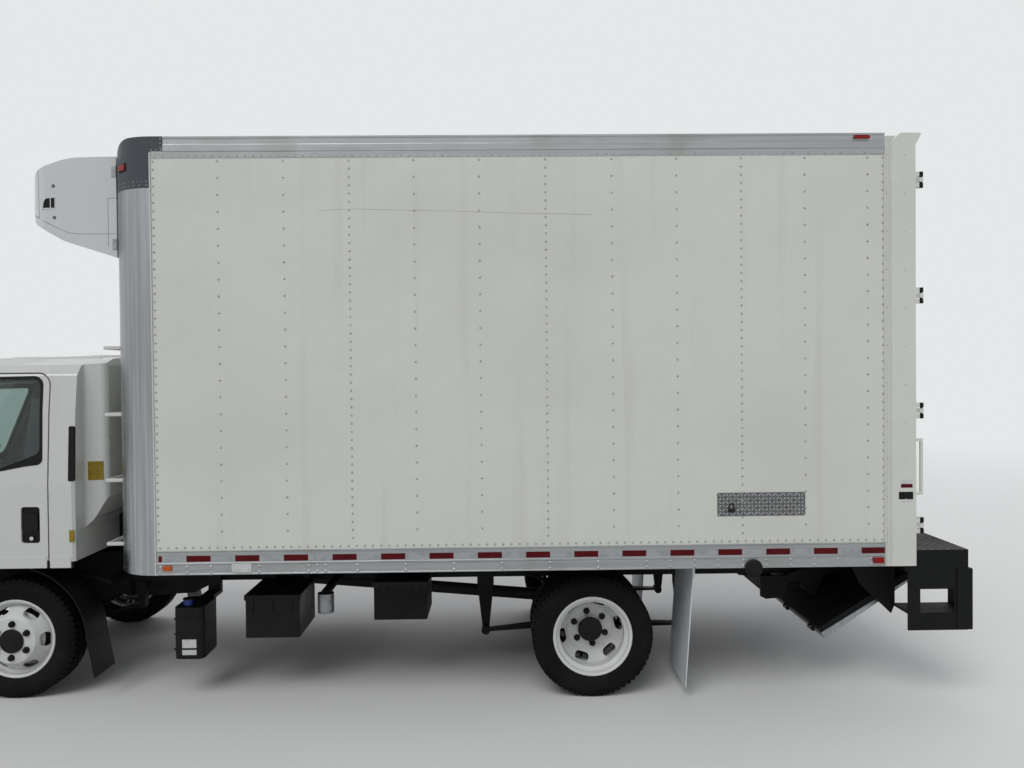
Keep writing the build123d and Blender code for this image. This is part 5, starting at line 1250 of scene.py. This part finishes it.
# across, along, turn in degrees: the flat bowls behind each headlamp lens
BOWLS = ((680, -1168, 0), (780, -1166, 4), (880, -1154, 11))
bowls, turns, plates = bmesh.new(), bmesh.new(), bmesh.new()
for side in BOTH:
    for y, x, turn in BOWLS:
        place = (Matrix.Translation(at(x, side * y, 835))
                 @ Matrix.Rotation(math.radians(side * turn), 4, "Z")
                 @ Matrix.Diagonal((0.19, 1, 1, 1)))
        bmesh.ops.create_uvsphere(bowls, u_segments=20, v_segments=8, radius=0.042, matrix=place)
    side_plate(turns, rounded(-975, -895, 932, 988, 10), side * 1006, side * 1023)
    plan_plate(plates, [(468, side * 877.8), (562, side * 857.8), (562, side * 850),
                        (468, side * 868)], 1437, 1562)
    side_plate(plates, rounded(409, 441, 1052, 1130, 3), side * 1013, side * 1017.5)
piece("lamp_bowls", "cab", "chrome", bowls)
piece("turn_lamps", "cab", "amber", turns, bevel=0.006, segments=3)
piece("cab_plates", "cab", "gold", plates)
blocks("conduit", "white", [(726, 740, -925, -897, 1150, 1800)], bevel=0.003)
# painted shade: black domes stand where the strip's holes are, for the shade inside each hole
settle("conduit_holes", "chassis", "black",
       rows([((733, -925, 1165), (733, -925, 1790))], (0, -1, 0), RIVET, 40, "black"))
print("front of the cab dressed")

# %% [markdown]
# ## Ribs on the cab roof and grip on the steps
# The roof is a thin sheet, and pressed ribs along it keep it from drumming.
# They are round bars sunk into the roof, so that only their backs show; a small
# function gives the roof's height. The cab's steps get the same raised bars as
# the deck, so that a wet shoe doesn't slip.


# %% Roof ribs and step grip
def roof_z(x, y):
    """The height of the cab's roof: the lower of its side and front outlines."""
    along_roof = 2262 + (x + 450) * 28 / 890 if x < 440 else 2290 - (x - 440) * 22 / 120
    return min(along_roof, 2290 - abs(y) * 40 / 700)


bm = bmesh.new()
for y in (-640, -384, -128, 128, 384, 640):
    bar(bm, [(x, y, roof_z(x, y) - 8) for x in range(-300, 461, 40)], 13, 16)
piece("roof_ribs", "cab", "white", bm, sharp=60)
grip = [tread_area(400, 250, at(-805, side * 840, 581), FLAT, "steel", 26.0) for side in BOTH]
settle("step_grip", "cab", "steel", joined(grip))
print("roof ribs and step grip are in")

# %% [markdown]
# ## Inside the cab
# Seats are what one sees through the side glass. Each cushion is a crowned
# block: its middle stands higher than its edge, and three sewn seams cross it.
# The CAD seats stay as the frames under the padding.


# %% Make the cushions
SEAM_DEPTH = 7


def cushion(name, centre, along_dir, up_dir, length, width, thick, crown):
    """A crowned cushion with rounded sides; sizes in millimetres."""
    bm = bmesh.new()
    columns, rows_across = 22, 18
    middle, forward, upward = Vector(centre), Vector(along_dir), Vector(up_dir)
    grid = {}
    for level in (1, -1):
        for i in range(columns + 1):
            for j in range(rows_across + 1):
                u, v = i / columns * 2 - 1, j / rows_across * 2 - 1
                edge = (1 - abs(u) ** 6) * (1 - abs(v) ** 6)
                seam = min(1.0, abs(abs(v) - 0.52) / 0.07) * min(1.0, abs(u - 0.1) / 0.05 + 0.35)
                height = level * thick * 0.5 * edge ** 0.35
                if level > 0:
                    height += crown * (1 - u * u) * (1 - v * v) - SEAM_DEPTH * (1 - seam) * edge
                p = middle + forward * u * length / 2 + Vector((0, 1, 0)) * v * width / 2
                if abs(u) < 1 and abs(v) < 1:
                    p = p + upward * height
                grid[level, i, j] = bm.verts.new(at(*p))
    for level in (1, -1):
        for i in range(columns):
            for j in range(rows_across):
                bm.faces.new([grid[level, a, b] for a, b in ((i, j), (i + 1, j), (i + 1, j + 1),
                                                             (i, j + 1))])
    bmesh.ops.remove_doubles(bm, verts=bm.verts, dist=1e-5)
    bmesh.ops.recalc_face_normals(bm, faces=bm.faces)
    made = piece(name, "cab", "fabric", bm, sharp=60)


# name, middle across, width, how much lower than the others
SEATS = (("driver", -620, 440, 0), ("middle", -30, 400, 25), ("passenger", 590, 440, 0))
lean = Vector((0.18, 0, 0.98)).normalized()
back_up = (-lean.z, 0, lean.x)
for name, y, width, drop in SEATS:
    cushion(name + "_seat", (-205, y, 1412 - drop), (1, 0, -0.06), (0.06, 0, 1), 455, width, 90, 22)
    cushion(name + "_back", (58, y, 1690 - drop), lean, back_up, 480, width, 90, 18)
    cushion(name + "_headrest", (118, y, 2030 - drop), lean, back_up, 130, width * 0.55, 70, 8)
print("cushions:", 3 * len(SEATS))

# %% [markdown]
# ## Under the box
# The chassis is dark and busy. A leaf spring is a stack of plates held to the
# axle by two U-bolts, the frame has a row of large bolts along each rail, and
# steel brake pipes run beside it. Boxes and tanks have lids, ribs and straps.
# These small shapes give the eye something to hold on to in the shade.

# %% Springs, bolts, pipes, lids and straps
U_BOLT_X, U_BOLT_Y, U_BOLT_Z = 74, (438, 521), AXLE_Z + 40
clips, leaves = bmesh.new(), []
for side in BOTH:
    for x0, y0, y1, low, high in ((0, 372, 443, 335, 402), (WHEELBASE, 444, 515, 286, 340)):
        for x in (x0 - 210, x0 + 210):
            box(clips, x - 12, x + 12, side * y0, side * y1, low + 4, high + 14)
    for x in (WHEELBASE - U_BOLT_X, WHEELBASE + U_BOLT_X):
        for y in U_BOLT_Y:
            bar(clips, [(x, side * y, 262), (x, side * y, U_BOLT_Z)], 9)
            bar(clips, [(x, side * y, 268), (x, side * y, 290)], 15, 6)
    for y in U_BOLT_Y:
        bar(clips, [(WHEELBASE + U_BOLT_X * c, side * y, U_BOLT_Z + 60 * s)
                    for c, s in arc(0, 0, 1, 0, 180, 12)], 9)
    leaves += [(WHEELBASE - 300 + k * 62, WHEELBASE + 300 - k * 62, side * 448, side * 511,
                283 - k * 9, 290 - k * 9) for k in range(4)]
piece("spring_clips", "chassis", "steel", clips, bevel=0.002)
blocks("spring_leaves", "steel", leaves, bevel=0.0015)

FRAME_BOLTS = (700, 1350, 1450, 1950, 2300, 2800, 3050, 3300, 4350, 4600, 4900, 5300)
found = []
for side in BOTH:
    lines = [((x, side * 430, 835), (x, side * 430, 775)) for x in FRAME_BOLTS]
    found.append(rows(lines, (0, side, 0), BOLT, 60, "steel"))
    lines = [((x, side * 968, 690), (x, side * 968, 600)) for x in (5640, 5700)]
    found.append(rows(lines, (0, side, 0), BOLT, 45, "zinc"))
settle("frame_bolts", "chassis", "steel", joined(found))

pipes = bmesh.new()
bar(pipes, [(900, -445, 770), (1500, -448, 740), (2300, -448, 745), (3200, -448, 735)], 7)
bar(pipes, [(3200, -448, 735), (3500, -470, 640), (3720, -500, 480)], 9)
bar(pipes, [(4400, -448, 770), (4700, -448, 735), (5050, -455, 715)], 8)
piece("brake_pipes", "chassis", "steel", pipes)

blocks("box_lids", "black", [(1516, 1888, -966, -494, 640, 676), (2354, 2725, -905, -515, 700, 737)]
       + [(x - 8, x + 8, -968, -958, 560, 650) for x in (1570, 1700, 1830)]
       + [(x - 14, x + 14, -908, -898, 660, 715) for x in (2430, 2650)], bevel=0.005)
ribs = bmesh.new()
for z in (330, 430, 530):
    side_plate(ribs, rounded(1059, 1249, z - 6, z + 6, 4), -974, -978)
bar(ribs, [(1130, -900, 640), (1130, -900, 648)], 36, 18)
piece("tank_ribs", "chassis", "black", ribs, bevel=0.002)
blocks("tank_straps", "zinc", [(x - 22, x + 22, 508, 964, 705, 728) for x in (1590, 2270)],
       bevel=0.002)
print("underbody pieces are in")

# %% [markdown]
# ## The tail-lift and the dock bumpers
# The lift's hydraulic power pack hangs between its arms: a box with a round
# motor at its end. Rubber pads on the dock bumpers take the knocks of a loading
# bay, and plain blocks with rounded edges are enough for them.

# %% Power pack and pads
pack = bmesh.new()
box(pack, 4985, 5075, -300, 60, 600, 735)
bar(pack, [(5030, 60, 668), (5030, 300, 668)], 58, 20)
piece("power_pack", "chassis", "steel", pack, bevel=0.006)
blocks("dock_pads", "rubber", [(6201, 6224, side * 985, side * 1185, z, z + 60)
                               for side in BOTH for z in (500, 590, 740)], 0.006)
print("tail-lift dressed")
